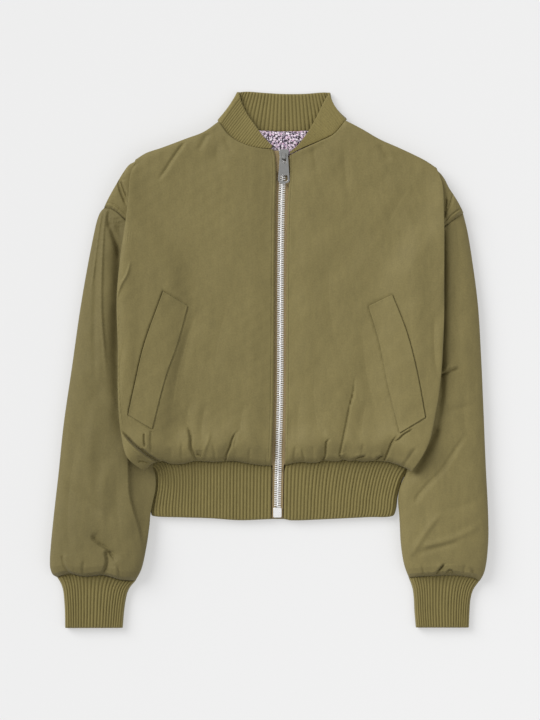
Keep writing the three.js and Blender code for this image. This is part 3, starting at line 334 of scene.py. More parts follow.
def cloth_material(name, color, contrast, weave, strength):
    """Color from 0.86 to 1.13 of itself, by clouds * contrast + 1.3 flecks + 0.8 streaks, each less
    0.5; the relief is a diagonal wave, one ridge per weave, with 0.6 of the flecks added."""
    made, entries, shader = material(name, color, 0.7, Sheen_Weight=0.08, Sheen_Roughness=0.5,
                                     Specular_IOR_Level=0.3)
    place = shader.node("ShaderNodeTexCoord", output="Object")
    clouds = shader.node("ShaderNodeTexNoise", {}, Vector=place, Scale=14.0, Detail=3.0, Roughness=0.55)
    fleck = shader.node("ShaderNodeTexNoise", {}, Vector=place, Scale=520.0, Detail=2.0)
    slanted = shader.node("ShaderNodeMapping", {}, Vector=place, Scale=(160.0, 40.0, 80.0),
                          Rotation=(0.0, 0.0, 0.6))
    streaks = shader.node("ShaderNodeTexNoise", {}, Vector=slanted, Scale=1.0, Detail=2.0)
    shade = (clouds - 0.5) * contrast + (fleck - 0.5) * 1.3 + (streaks - 0.5) * 0.8
    shader.plug(entries["Base Color"], shader.blend(shade + 0.5, toned(color, 0.86), toned(color, 1.13)))
    ridges = shader.node("ShaderNodeTexWave", {"wave_type": "BANDS", "bands_direction": "DIAGONAL"},
                         Vector=place, Scale=weave, Distortion=0.6, Detail=1.0, output="Fac")
    shader.plug(entries["Normal"], shader.node("ShaderNodeBump", {}, Strength=strength, Distance=0.0002,
                                               Height=ridges + fleck * 0.6))
    return made


twill = cloth_material("olive_twill", OLIVE, 0.7, 420.0, 0.35)
knit = cloth_material("olive_rib_knit", KNIT, 0.5, 700.0, 0.5)
tape_weave = cloth_material("tan_zip_tape", TAN, 0.4, 600.0, 0.4)
# Painted shade: the left sleeve's twill is 0.84 of the olive, so it looks darker than the body.
painted_shade_twill = cloth_material("olive_twill_cross_grain", tuple(0.84 * c for c in OLIVE), 0.9, 420.0, 0.35)
print("cloths:", [cloth.name for cloth in (twill, knit, tape_weave, painted_shade_twill)])

# %% [markdown]
# ## Lining print
# The lining is a smooth dark plum cloth with small pale flowers all over. Flowers could be placed
# one by one; a Voronoi pattern scatters them without an order of its own, one to a cell, and the
# cell's random value picks each flower's color. A second, smaller layer fills the gaps.

# %% Flower print
PLUM = (0.02, 0.008, 0.018)
FLOWERS = [(230.0, 5.0, 0.31, ((0.98, 0.92, 0.96, 1), (0.62, 0.32, 0.50, 1))),
           (360.0, 4.0, 0.25, ((0.36, 0.24, 0.44, 1), (0.95, 0.88, 0.92, 1)))]


def flower_material(name):
    """Per layer: cells per metre, petals, size and two colors. A flower fills its cell's middle out
    to the radius size + 0.12 cos(petals * angle), counted in cells."""
    made, entries, shader = material(name, PLUM, 0.5)
    place = shader.node("ShaderNodeTexCoord", output="Object")
    ground = (*PLUM, 1)
    for scale, petals, size, colors in FLOWERS:
        middle = shader.node("ShaderNodeTexVoronoi", {"voronoi_dimensions": "3D"}, Vector=place,
                             Scale=scale, output="Position")
        offset = shader.node("ShaderNodeVectorMath", {"operation": "SUBTRACT"}, place, middle)
        x = shader.node("ShaderNodeSeparateXYZ", {}, offset)
        y = x.sibling("Y")
        radius = (x * x + y * y).maths("SQRT") * scale
        petal = (y.maths("ARCTAN2", x) * petals).maths("COSINE") * 0.12 + size
        inside = ((petal - radius) * 14.0 + 0.5).maths("MAXIMUM", 0.0).maths("MINIMUM", 1.0)
        ground = shader.blend(inside, ground, shader.blend(middle.sibling("Color"), *colors))
    shader.plug(entries["Base Color"], ground)
    return made


lining_cloth = flower_material("flower_print")
print("lining:", lining_cloth.name, "with", len(FLOWERS), "layers of flowers")

# %% [markdown]
# ## Cast metal
# Zip teeth, slider and pull tab are small castings, tumbled until they are smooth. One flat grey
# would look like plastic: real metal has fine scratches, which change how sharply it shines from
# point to point, and a trace of tarnish. Noise stretched along the zip gives the scratches.

# %% Bright and satin metal
def metal_material(name, color, roughness, metallic):
    """Fine scratches add 0.24 * (noise - 0.5) to the roughness, and slow tarnish mixes the color
    between 0.9 and 1.08 of itself."""
    made, entries, shader = material(name, color, roughness, metallic)
    place = shader.node("ShaderNodeTexCoord", output="Object")
    drawn = shader.node("ShaderNodeMapping", {}, Vector=place, Scale=(2600.0, 420.0, 1400.0))
    scratches = shader.node("ShaderNodeTexNoise", {}, Vector=drawn, Scale=1.0, Detail=3.0)
    tarnish = shader.node("ShaderNodeTexNoise", {}, Vector=place, Scale=260.0, Detail=2.0)
    shader.plug(entries["Base Color"], shader.blend(tarnish, toned(color, 0.9), toned(color, 1.08)))
    shader.plug(entries["Roughness"], (scratches - 0.5) * 0.24 + roughness)
    shader.plug(entries["Normal"], shader.node("ShaderNodeBump", {}, Strength=0.15, Distance=0.00005,
                                               Height=scratches))
    return made


bright_metal = metal_material("bright_zip_metal", (1.0, 0.98, 0.95), 0.3, 0.55)
satin_metal = metal_material("satin_grey_metal", (0.36, 0.36, 0.35), 0.36, 0.9)
print("metals:", bright_metal.name, satin_metal.name)

# %% [markdown]
# ## Outlines
# The same outlines as the solids, in millimetres, with +Y from the hem to the collar. They are the
# cutting lines of the panels as they lie: folds, seams and the two edges beside the zip. A jacket
# on a table is never quite even, so its left and right sides have tables of their own.

# %% Seams and folds of the body
LEFT_HEM_SEAM = [(-170.8, -151.9), (-165.5, -147), (-160, -142.1), (-152, -139.6), (-144.8, -139),
                 (-137.7, -142.1), (-127.6, -143.1), (-115.4, -142.1), (-107.3, -139.7),
                 (-101.3, -138.6), (-87.1, -139.7), (-74.9, -140.1), (-62.8, -139.1), (-48.6, -139.1),
                 (-34.4, -141.5), (-18.2, -144.1), (0.6, -145.5)]
RIGHT_HEM_SEAM = [(20.9, -144.5), (33.1, -141.5), (45.2, -140.1), (51.3, -141.1), (65.5, -140.7),
                  (71.6, -138), (77.6, -138.6), (93.8, -139.1), (99.9, -137), (108, -139.1),
                  (114.1, -138), (126.2, -139.5), (142.4, -138.6), (158.6, -140.1), (170.8, -143.1),
                  (180.9, -147.2), (189.7, -151.9)]
HEM_SEAM = LEFT_HEM_SEAM + RIGHT_HEM_SEAM
LEFT_FOLD = [(-170.8, -151.9), (-192.4, -131.6), (-201.4, -96.5), (-204.8, -56), (-205.2, 18.2),
             (-206.8, 79), (-201.8, 138.4), (-195.1, 184.3), (-191.7, 214), (-188.7, 247.7),
             (-182.3, 268.3)]
RIGHT_FOLD = [(189.7, -151.9), (204.3, -129.9), (214.4, -108), (221.5, -74.9), (227.5, -37.9),
              (232.9, 40.5), (233.6, 120), (233.6, 190), (231.4, 236), (224.1, 257.2)]
LEFT_SHOULDER = [(-182.3, 268.3), (-168.1, 277.4), (-147.8, 284.4), (-114.8, 296.9), (-89.9, 306.6),
                 (-70.6, 320.4)]
RIGHT_SHOULDER = [(224.1, 257.2), (207.8, 268), (174.6, 284.4), (147, 296.9), (124.9, 310), (102, 322.4)]
LEFT_NECK = [(-70.6, 320.4), (-56.4, 301.8), (-37.2, 290.2), (-18.3, 284.8), (4, 282.8)]
RIGHT_NECK = [(102, 322.4), (85.8, 303.6), (66.2, 293.9), (42.8, 283.6), (25.6, 275.4)]
BACK_NECK = [(-71.5, 318.2), (-52, 312.6), (-18.2, 308.6), (18.2, 306.8), (54.7, 308.2), (85.7, 312.8),
             (103, 320.3)]
LEFT_ZIP_EDGE = [(1.6, -145.5), (4.4, -56), (6, 146.5), (6.9, 214), (7.8, 255), (6.4, 274), (4, 282.4)]
RIGHT_ZIP_EDGE = [(19.4, -144.5), (20.6, -56), (21.7, 146.5), (23.2, 214), (25.6, 250), (25.4, 274.2)]
ZIP_MIDDLE = [(9.2, -216.7), (10.4, -145.1), (12.8, -56), (13.9, 146.5), (15.5, 227.5), (18.2, 281.5)]
BACK_LEFT = [(-170.8, -151.9), (-158, -127), (-140.5, -88), (-129, -29), (-125, 31.7), (-123.6, 79),
             (-125, 118), (-130.6, 141)]
BACK_RIGHT = [(189.7, -151.9), (176, -127), (164.4, -96), (158.6, -36), (157.4, 18.2), (158.7, 62.8),
              (162.8, 95), (169.6, 120.4)]
zip_middle = look_up([(y, x) for x, y in ZIP_MIDDLE])
print("hem seam, side to side:", RIGHT_HEM_SEAM[-1][0] - LEFT_HEM_SEAM[0][0], "mm")

# %% Sleeves, caps and cuff seams
LEFT_ARMHOLE = [(-224.8, 204.5), (-214.7, 201.9), (-204.4, 194.8), (-195.8, 186.3), (-164, 161),
                (-133, 142.4)]
RIGHT_ARMHOLE = [(260.4, 197.8), (252, 191), (236, 178), (205, 150), (172.1, 122)]
LEFT_CAP = [(-224.8, 204.5), (-216.7, 220.7), (-208.6, 234.9), (-200.5, 248.7), (-191, 261.5),
            (-182.3, 268.3)]
RIGHT_CAP = [(224.1, 257.2), (233.6, 244.7), (241, 230.7), (251.8, 214), (260.4, 197.8)]
LEFT_SLEEVE_OUTER = [(-224.8, 204.5), (-230.5, 198), (-234.8, 187), (-238.6, 171), (-247.8, 124),
                     (-258, 64), (-268.3, -8.8), (-280, -89.8), (-287, -157.3), (-293.8, -218),
                     (-297.4, -256), (-298.4, -272), (-297.8, -284), (-294.8, -292), (-289.5, -296.4)]
LEFT_SLEEVE_INNER = [(-133, 142.4), (-127.6, 119.5), (-126.2, 79), (-127.6, 31.7), (-131.6, -29),
                     (-144, -90), (-155, -127), (-159, -148), (-156.6, -155), (-155.4, -161),
                     (-155, -168), (-156, -180), (-158.8, -192), (-161.2, -204), (-162.6, -213),
                     (-163.4, -223), (-168, -256), (-174.8, -285.5), (-183, -301.2)]
RIGHT_SLEEVE_OUTER = [(260.4, 197.8), (266.6, 172.1), (273.4, 130.3), (280.8, 72.2), (284.9, 4.7),
                      (288.2, -69.5), (290.9, -137), (294.4, -211.3), (294.6, -245), (291.6, -278),
                      (288.4, -291), (283, -302)]
RIGHT_SLEEVE_INNER = [(172.1, 122), (165.4, 95.2), (161.3, 62.8), (160, 18.2), (161.3, -35.8),
                      (167.5, -96.5), (178, -128), (184.6, -150), (182.6, -157), (179.8, -163),
                      (176.6, -170), (173.6, -180), (172.4, -191), (172.9, -200), (173.8, -208),
                      (174.6, -222), (176.4, -253.1), (181, -280), (187.4, -297)]
LEFT_CUFF_SEAM = [(-289.5, -296.4), (-280, -292.8), (-271, -290.8), (-262, -292.6), (-252, -294.2),
                  (-239, -293.2), (-228, -292.4), (-216, -295.4), (-203, -299.4), (-183, -301.2)]
RIGHT_CUFF_SEAM = [(283, -302), (277, -297.6), (263.6, -294.4), (247, -292.2), (232, -292.6),
                   (210.8, -294), (197, -295.4), (187.4, -297)]
print("left sleeve, armhole to cuff:",
      round(math.dist(LEFT_SLEEVE_OUTER[0], LEFT_SLEEVE_OUTER[-1])), "mm")

# %% [markdown]
# ## Creases
# A crease in padded cloth is a valley with a softer swelling beside it, and it fades out at both
# ends. Simulated cloth would put its creases anywhere; these are listed one by one, each where it lies on
# the real jacket. Broad ones are straight and soft. Crisp ones follow a short curve, start sharply
# at a seam and fade at the far end. A raised fold has a negative depth. Slow unevenness goes under
# them all, because wadding never lies quite level.

# %% Soft creases
def creases(rows, grid):
    """Rows of x0, y0, x1, y1, width w, depth, swell. Sum of a sharp valley -depth * exp(-(d/w)^2), a
    slow slope into it on one side, -0.4 * depth * exp(-|d|/5w), and a lip on the other side,
    swell * (d/2w) * exp(1 - d/2w)."""
    x, y = grid[..., 0], grid[..., 1]
    total = np.zeros(x.shape)
    for x0, y0, x1, y1, width, depth, swell in rows:
        length = math.hypot(x1 - x0, y1 - y0)
        along = ((x - x0) * (x1 - x0) + (y - y0) * (y1 - y0)) / length
        across = ((y - y0) * (x1 - x0) - (x - x0) * (y1 - y0)) / length
        across = across + 0.04 * length * np.sin(np.pi * np.clip(along / length, 0, 1))
        fade = smooth(along / (0.4 * length) + 0.25) * smooth((length - along) / (0.4 * length) + 0.25)
        side = across * (1 if swell >= 0 else -1)
        rise = np.clip(side / (2 * width), 0, None)
        lip = abs(swell) * rise * np.exp(1 - rise)
        slope = 0.4 * depth * np.exp(-np.abs(side) / (5 * width)) * (side < 0) if swell else 0
        total += fade * (lip - slope - depth * np.exp(-(across / width) ** 2))
    return total


def unevenness(grid, seed, size, height):
    """Sum of slow plane waves with seeded directions and phases: height * sum of sin(k . p + phase) / 4."""
    rng = np.random.default_rng(seed)
    turn, phase = rng.uniform(0, 2 * np.pi, (2, 14))
    wave = rng.uniform(0.7, 2.2, 14) * 2 * np.pi / size
    x, y = grid[..., :1], grid[..., 1:2]
    return height * np.sin(wave * (x * np.cos(turn) + y * np.sin(turn)) + phase).sum(-1) / 4


print("a crease 2 mm deep, at its middle:",
      creases([(0, 0, 10, 0, 1, 2, 0)], np.array([[[5.0, -0.4]]])).round(2).item(), "mm")

# %% Crisp folds, grooves, ledges and gathers
def fold_lines(rows, grid):
    """Rows of a path, its width w, depth and lip. Along the path -depth * exp(-(d/w)^2), with a lip
    on its left; it fades toward the path's end, and just past both ends."""
    total = np.zeros(grid.shape[:2])
    t = np.linspace(0, 1, 60)
    for points, width, depth, lip in rows:
        path = curve(points)
        spots, ahead = path(t), path(t + 0.01) - path(t - 0.01)
        ahead /= np.linalg.norm(ahead, axis=-1, keepdims=True)
        margin = 7 * width
        near = ((grid[..., :2] > spots.min(0) - margin) & (grid[..., :2] < spots.max(0) + margin)).all(-1)
        gap = grid[near][:, None, :2] - spots
        apart = np.linalg.norm(gap, axis=-1)
        pick = apart.argmin(1)
        gap = np.take_along_axis(gap, pick[:, None, None], 1)[:, 0]
        side = (ahead[pick, 0] * gap[:, 1] - ahead[pick, 1] * gap[:, 0]) / (2 * width)
        fade = smooth(t[pick] / 0.1 + 0.35) * smooth((1 - t[pick]) / 0.3 + 0.1)
        fade *= np.exp(-((ahead[pick] * gap).sum(-1) / (1.5 * width)) ** 2)
        swell = lip * np.clip(side, 0, None) * np.exp(1 - np.clip(side, 0, None))
        total[near] += fade * (swell - depth * np.exp(-(apart.min(1) / width) ** 2))
    return total


def groove(path, grid, width, depth):
    """-depth * exp(-(d/w)^2), with d the distance to the nearest of the path's points."""
    spots = path(np.linspace(0, 1, 160))
    total = np.zeros(grid.shape[:2])
    low, high = spots.min(0) - 3 * width, spots.max(0) + 3 * width
    near = ((grid[..., :2] > low) & (grid[..., :2] < high)).all(-1)
    apart = np.linalg.norm(grid[near][:, None, :2] - spots[None], axis=-1).min(1)
    total[near] = -depth * np.exp(-(apart / width) ** 2)
    return total


def ledge(path, grid, width, drop):
    """0 on the left of the path and -drop on its right, eased over width, fading at both ends."""
    count, easing = 120, 30
    spots = path(np.linspace(0, 1, count))
    ahead = path(np.linspace(0, 1, count) + 0.01) - path(np.linspace(0, 1, count) - 0.01)
    gap = grid[..., None, :2] - spots
    nearest = np.linalg.norm(gap, axis=-1).argmin(-1)
    gap = np.take_along_axis(gap, nearest[..., None, None], -2)[..., 0, :]
    right = gap[..., 0] * ahead[nearest][..., 1] - gap[..., 1] * ahead[nearest][..., 0]
    right /= np.linalg.norm(ahead[nearest], axis=-1)
    ends = smooth(nearest / easing) * smooth((count - 1 - nearest) / easing)
    return -drop * smooth(right / width) * ends


def gathers(seed, count, *ranges):
    """Small valleys at a seam. Place, width, reach and depth are drawn evenly from the four ranges;
    each valley is depth * exp(-((x - place) / width)^2 - (d / reach)^2), d the distance from the seam."""
    rng = np.random.default_rng(seed)
    rows = list(zip(*(rng.uniform(low, high, count) for low, high in ranges)))
    return lambda x, far: sum(depth * np.exp(-((x - place) / width) ** 2 - (far / up) ** 2)
                              for place, width, up, depth in rows)


print("a groove 1.3 mm deep, 1 mm off its line:",
      groove(curve([(0, 0), (10, 0)]), np.array([[[5.0, 1.0]]]), 1.0, 1.3).round(2).item(), "mm")

# %% Creases of the fronts
LEFT_FRONT_CREASES = [(-75, 284, -58.7, 256, 6, 1.2, 0.5), (-62, 299, -49, 276, 5, 1.2, 0.5),
                      (-180, 263, -187, 256, 2, 1.2, 0.5), (-70, 290, -70, 262, 7, 0.9, 0.3),
                      (-96, 68, -132, -72, 9, 1.8, 0.6), (-150, 120, -128, 60, 10, 1.2, 0.5),
                      (-106, -56, -113, -100, 6, 1, 0.5), (-88, -60, -94, -112, 5, 1, -0.5),
                      (-34, -60, -40, -110, 6, 0.9, 0.5), (-196, 20, -203, -52, 4, 1, 0.5),
                      (-112, 30, -120, -30, 7, 1, 0.5), (-60, 60, -75, -20, 9, 0.8, 0.3)]
LEFT_FRONT_LINES = [
    ([(-116, 291), (-124, 281), (-133, 268), (-143, 252), (-153, 239)], 2.4, 2.2, 1.2),
    ([(-84, 303), (-92, 290), (-98, 279)], 4, 1.4, 0.6),
    ([(-147, -141), (-160, -134), (-170, -126.5), (-180, -118), (-190, -108), (-201, -96)], 1.5, 6.4, 5),
    ([(-172, -121), (-162, -130), (-151, -137), (-146, -140)], 1.1, 3.4, 1.6),
    ([(-178, -138.2), (-170, -138.6), (-161, -141)], 1.1, 3.2, -1.4),
    ([(-169.5, -101), (-169.4, -110), (-168, -120)], 1.2, 3, 1.2),
    ([(-160.5, -97), (-160.8, -112), (-160, -129)], 1.4, 1.8, -0.8),
    ([(-101.5, -139), (-103, -131), (-107.4, -120), (-107.6, -106), (-112, -88)], 1.8, 3.8, 2),
    ([(-100, -130), (-96, -130.3), (-92.4, -133.5), (-91, -140)], 1, 3.4, -2.4),
    ([(-92, -137), (-90, -127), (-84, -110), (-82, -98)], 2.2, -1.6, 0),
    ([(-61.4, -140), (-59, -130), (-54, -118), (-50.5, -107), (-44.5, -97)], 1.3, 5.6, -2.6),
    ([(-43, -97), (-46.5, -107), (-49, -120)], 1.6, 1.2, 0.6),
    ([(-207.4, 62), (-207, 80), (-200, 100), (-193, 112), (-187, 132)], 1.7, -2.6, 0),
    ([(-196, 170), (-194, 60), (-192, -60)], 13, -3.4, 0),
    ([(-205, 64), (-204.4, 20), (-204, -30), (-201, -76), (-197, -98)], 1.2, -1.6, 0),
    ([(-118, -141), (-120, -132), (-119, -112)], 2, 1, 0.5),
    ([(-132, -143), (-134, -133), (-133, -118)], 2.4, 1.1, -0.5),
    ([(-76, -141), (-75, -130), (-78, -112)], 2, 1, 0.5),
    ([(-28, -143), (-29, -133), (-27, -118)], 2.4, 1, 0.5),
]
RIGHT_FRONT_CREASES = [
    (147.6, 290, 163, 268, 4, 1.6, 0.8), (100, 283, 107.3, 226, 6, 1.2, 0.5),
    (58, 285, 66, 250, 5, 1, 0.5), (190, 232, 158, 176, 12, 1.2, 0.4), (124, 60, 148, -86, 9, 1.4, 0.5),
    (222, 60, 226, -30, 4, 1, 0.4), (60, -20, 66, -100, 8, 0.8, 0.4), (132, -50, 124, -112, 8, 1, 0.5),
    (80, 120, 88, 30, 10, 0.8, 0.3), (42, -50, 39, -120, 6, 0.9, 0.4)]
RIGHT_FRONT_LINES = [
    ([(192, 180), (198, 60), (196, -60)], 13, -2.4, 0),
    ([(70, -139), (74, -131), (75, -120), (76, -112), (81, -107)], 1.4, 5.6, -2.6),
    ([(93, -132), (95, -122), (99, -104), (103, -85), (107, -65), (112, -45), (114, -24)], 1.4, 4.6, -2),
    ([(93.5, -130), (96.5, -135), (101, -139)], 1.1, 3.6, 1.8),
    ([(111, -139), (117, -134), (129, -131)], 1.1, 3.8, 1.8),
    ([(140, -139), (146, -133.5), (153, -130.5)], 1.2, 4.4, 2),
    ([(153, -139), (158, -128), (162, -117), (166, -109), (172, -102)], 1.5, 6.4, -3.4),
    ([(166, -112), (172, -108), (179, -101.5), (192, -94)], 1.1, 3, 1.4),
    ([(44, -142), (45, -134), (42, -120)], 2, 1.4, 0.6),
    ([(58, -141), (59, -131), (57, -116)], 2.2, 1, -0.5),
    ([(124, -140), (123, -128), (126, -112)], 2.4, 1, 0.5),
    ([(178, -147), (184, -136), (196, -118)], 3, 1.6, 0.8),
    ([(33, -143), (32, -132), (34, -116)], 2.2, 1.1, 0.5),
]
print("fronts:", len(LEFT_FRONT_CREASES + RIGHT_FRONT_CREASES), "soft creases,",
      len(LEFT_FRONT_LINES + RIGHT_FRONT_LINES), "crisp ones")

# %% Creases of the sleeves and caps
LEFT_SLEEVE_CREASES = [
    (-282, -86, -212, -150, 9, 1.4, 0.8), (-286, -158, -206, -216, 8, 1.2, 0.8),
    (-241, 140, -246, 40, 6, 1.6, 0), (-250, -20, -198, -86, 9, 1.2, 0.6),
    (-236, -60, -239, -200, 7, -1.2, 0), (-222, -140, -221, -246, 6, -1.2, 0),
    (-262, -120, -270, -260, 8, 1.2, 0.5), (-205, -150, -200, -240, 7, 1, 0.4)]
LEFT_SLEEVE_LINES = [
    ([(-241, -240), (-230, -250), (-221, -256), (-214, -266), (-207, -275)], 1.5, 5.2, -3.2),
    ([(-222.5, -260), (-220.5, -273), (-223, -283), (-230, -294)], 1.5, 5.4, -3.4),
    ([(-281, -266), (-277, -281), (-267, -293)], 1.8, 2, 1.2),
    ([(-218, 184), (-212, 166), (-206, 148), (-204, 132)], 3, 3.4, 1.4),
    ([(-222, 205), (-225.5, 170), (-228, 110), (-228, 60), (-224, 10), (-221, -30)], 1.8, -3.6, 0),
    ([(-218, 203), (-219.5, 190), (-219, 174)], 1.4, 2.6, -1.4),
    ([(-227, 203), (-231.5, 176), (-236, 140), (-242, 90)], 1.7, -2.8, 0),
    ([(-207, 192), (-203, 130), (-206, 60), (-206, -20), (-203, -80), (-198, -112)], 9, 7, 0),
    ([(-236, 170), (-236, 110), (-238, 40), (-236, -30)], 4, 2, 0),
    ([(-252, -296), (-253, -284), (-251, -270)], 1.6, 1.4, 0.6),
    ([(-205, -299), (-204, -288), (-206, -278)], 1.6, 1.2, 0.6),
]
RIGHT_SLEEVE_CREASES = [
    (246, 40, 264, -34, 7, 1.2, 0.6), (252, 180, 262, 120, 5, 1.2, 0.6),
    (228, -70, 276, -60, 6, 1, 0.5), (222, -205, 284, -186, 8, 1, 0.6),
    (250, 120, 258, 30, 8, 1.2, 0.5), (262, -40, 270, -120, 8, 1, 0.5)]
RIGHT_SLEEVE_LINES = [
    ([(224, 196), (229, 176), (232, 120), (231.5, 60), (230.5, 0), (229, -60), (222, -100)], 5, 7, 0),
    ([(224, -92), (210, -122), (197, -146), (184, -170)], 6.5, 6, 0),
    ([(229, -23), (238, -19), (246, -15), (255, -13)], 1.5, 5.4, 2.6),
    ([(235, -19), (240, -14), (243, -10)], 1.2, 2.2, 1),
    ([(194, -193), (212, -171), (232, -150), (246, -129), (266, -99)], 3, 3.4, -2.2),
    ([(188, -266), (203, -243), (216, -224), (232, -206)], 4, -2.2, 0),
    ([(206, -252), (232, -246), (260, -236), (287, -222)], 4, -2, 0),
    ([(200, -262), (228, -254), (258, -246)], 4, 1.4, 0),
    ([(223, -293), (227, -285), (235, -276)], 1.3, 4.6, 2.2),
    ([(236, -292), (239, -286.5), (243, -285), (246, -288), (244, -293)], 1.1, 3.4, 1.4),
    ([(283, -300), (275, -292), (270, -282)], 2, 2.4, 1.2),
    ([(205, -298), (206, -286), (203, -276)], 1.8, 1.3, 0.6),
    ([(262, -298), (261, -286), (264, -276)], 1.8, 1.3, -0.6),
]
LEFT_CAP_LINES = [
    ([(-207, 242), (-203.5, 229), (-199, 217), (-194, 206)], 1.6, 3.4, -1.6),
    ([(-202, 239), (-197.5, 227), (-193, 216)], 1.2, 2.4, 1),
    ([(-221, 211), (-210, 207), (-198, 197), (-190, 190)], 1.1, 1.6, -0.8),
]
RIGHT_CAP_LINES = [
    ([(237, 216), (236, 203), (234, 188)], 2, 2.6, 1.2),
    ([(247, 224), (243, 210), (237, 198)], 1.8, 2, 1),
    ([(258, 203.5), (246, 195), (234, 184)], 1.1, 1.6, 0.8),
]
# Beside the hem the left sleeve's under layer shows past the upper one: a step, then a slow slope.
LEFT_SLEEVE_LEDGE = [(-170, -262), (-174, -248), (-179, -225), (-185, -205), (-190, -185),
                     (-191.5, -165), (-192, -100)]
LEDGE_STEPS = [(2.0, 6.5), (26.0, 5.0)]
print("sleeves:", len(LEFT_SLEEVE_CREASES + RIGHT_SLEEVE_CREASES), "soft creases,",
      len(LEFT_SLEEVE_LINES + RIGHT_SLEEVE_LINES + LEFT_CAP_LINES + RIGHT_CAP_LINES), "crisp ones")

# %% [markdown]
# ## What lies below
# The fronts drape over the back and over the inner half of each sleeve, and thin pieces lie on the
# thick ones. Collisions in a simulation would find how they rest; a relief map does it at once. It
# is a grid of heights, 2.5 mm a cell, that collects the pieces below. Its highest points are spread
# a little and then blurred, which gives the height at which a thick soft cloth comes to rest.

# %% Relief map
class Relief:
    """Heights on a grid: keeps the highest z of what is laid on it, and can be spread and blurred."""
    cell, low, size = 2.5, np.array([-330.0, -400.0]), (320, 264)

    def __init__(self, field=None):
        self.field = np.zeros(self.size) if field is None else field

    def lay(self, grid, lift=0.0):
        """Keep the higher of the map and the grid's z + lift, cell by cell."""
        ids = np.rint((grid[..., :2] - self.low) / self.cell).astype(int)
        np.maximum.at(self.field, (ids[..., 1].ravel(), ids[..., 0].ravel()), grid[..., 2].ravel() + lift)
        return self

    def spread(self, cells):
        """Each cell becomes the highest of its neighbours, as many times as asked."""
        field = self.field.copy()
        for axis in (0, 1) * cells:
            field = np.maximum(field, np.maximum(np.roll(field, 1, axis), np.roll(field, -1, axis)))
        return Relief(field)

    def blur(self, radius):
        """Gaussian blur through the Fourier transform: multiply by exp(-2 (pi radius f)^2)."""
        fy, fx = (np.fft.fftfreq(n, self.cell) for n in self.size)
        gain = np.exp(-2 * (np.pi * radius) ** 2 * (fx[None] ** 2 + fy[:, None] ** 2))
        return Relief(np.fft.ifft2(np.fft.fft2(self.field) * gain).real)

    def at(self, grid):
        """Bilinear height at each point."""
        place = (grid[..., :2] - self.low) / self.cell
        x, y = np.clip(place[..., 0], 0, self.size[1] - 2), np.clip(place[..., 1], 0, self.size[0] - 2)
        i, j = x.astype(int), y.astype(int)
        s, t, f = x - i, y - j, self.field
        below, above = (1 - s) * f[j, i] + s * f[j, i + 1], (1 - s) * f[j + 1, i] + s * f[j + 1, i + 1]
        return (1 - t) * below + t * above


print("relief map:", Relief.size[1] * Relief.cell, "x", Relief.size[0] * Relief.cell, "mm")

# %% [markdown]
# ## Back
# The back is a padded panel that lies on the table, lining up. Only its rim shows round the neck
# and shoulders, so one patch serves: a flat underside that lifts a little at the rim, and a top that
# rounds down to it. Its edges follow the armholes and pass under the fronts. At every seam the two
# pieces overlap by about a millimetre, as sewn ones do, so that no light passes between them.

# %% Back panel
# Thickness of the padding, in the middle of a panel and where it is flattened at a rim.
BACK_WALL, FRONT_WALL, EDGE = 11.0, 12.5, 2.4
SEAM_OVERLAP, NECK_OVERLAP = 0.6, 0.35


def slab(edges, us, vs, under, rule):
    """Two heights over one patch: rule(points, reach) gives the underside and the top."""
    outer, inner = patch(edges, us, vs), patch(edges, under[0], under[1])
    high, low = rule(outer, reach(outer))[1], rule(inner, reach(inner))[0]
    top = np.dstack([outer, high])
    return shell((top, us, vs), (np.dstack([inner, low]), *under)), top


def back_rule(grid, far):
    """Underside 0.8 (1 - q) and top from EDGE + 1 up to the wall with q, the rounding of the rim."""
    sides = quarter(np.minimum(far["left"], far["right"]), 12)
    soft = sides * quarter(far["top"], 12) * quarter(far["bottom"], 22)
    return 0.8 * (1 - soft), EDGE + 1.0 + (BACK_WALL - EDGE - 1.0) * soft


# The shares are where the corners between the joined curves fall on the grid.
SHOULDER_TO_NECK, NECK_TO_SHOULDER, SIDE_TO_ARMHOLE = 7 / 13, 13 / 20, 16 / 24
back_edges = {
    "bottom": curve(HEM_SEAM),
    "top": joined(joined(curve(LEFT_CAP + LEFT_SHOULDER[1:]), beside(curve(BACK_NECK), -NECK_OVERLAP),
                         SHOULDER_TO_NECK),
                  curve(RIGHT_SHOULDER[::-1] + RIGHT_CAP[1:]), NECK_TO_SHOULDER),
    "left": joined(curve(BACK_LEFT), beside(curve(LEFT_ARMHOLE[::-1]), -SEAM_OVERLAP), SIDE_TO_ARMHOLE),
    "right": joined(curve(BACK_RIGHT), beside(curve(RIGHT_ARMHOLE[::-1]), SEAM_OVERLAP), SIDE_TO_ARMHOLE),
}
back_skin, back_top = slab(back_edges, np.linspace(0, 1, 201), np.linspace(0, 1, 193),
                           (np.linspace(0, 1, 61), np.linspace(0, 1, 49)), back_rule)
piece("back_panel", back_skin, twill, ["back"])

# %% [markdown]
# ## Sleeves
# A sleeve is a padded tube pressed flat. Two separate walls would leave an open edge, so the skin
# runs all round, and a narrow slit is left inside it where the two layers of lining touch. The tube
# is thickest near the cuff, where its fullness is gathered into the narrow rib, and then drops
# steeply to the seam. Its inner half lies under the front.

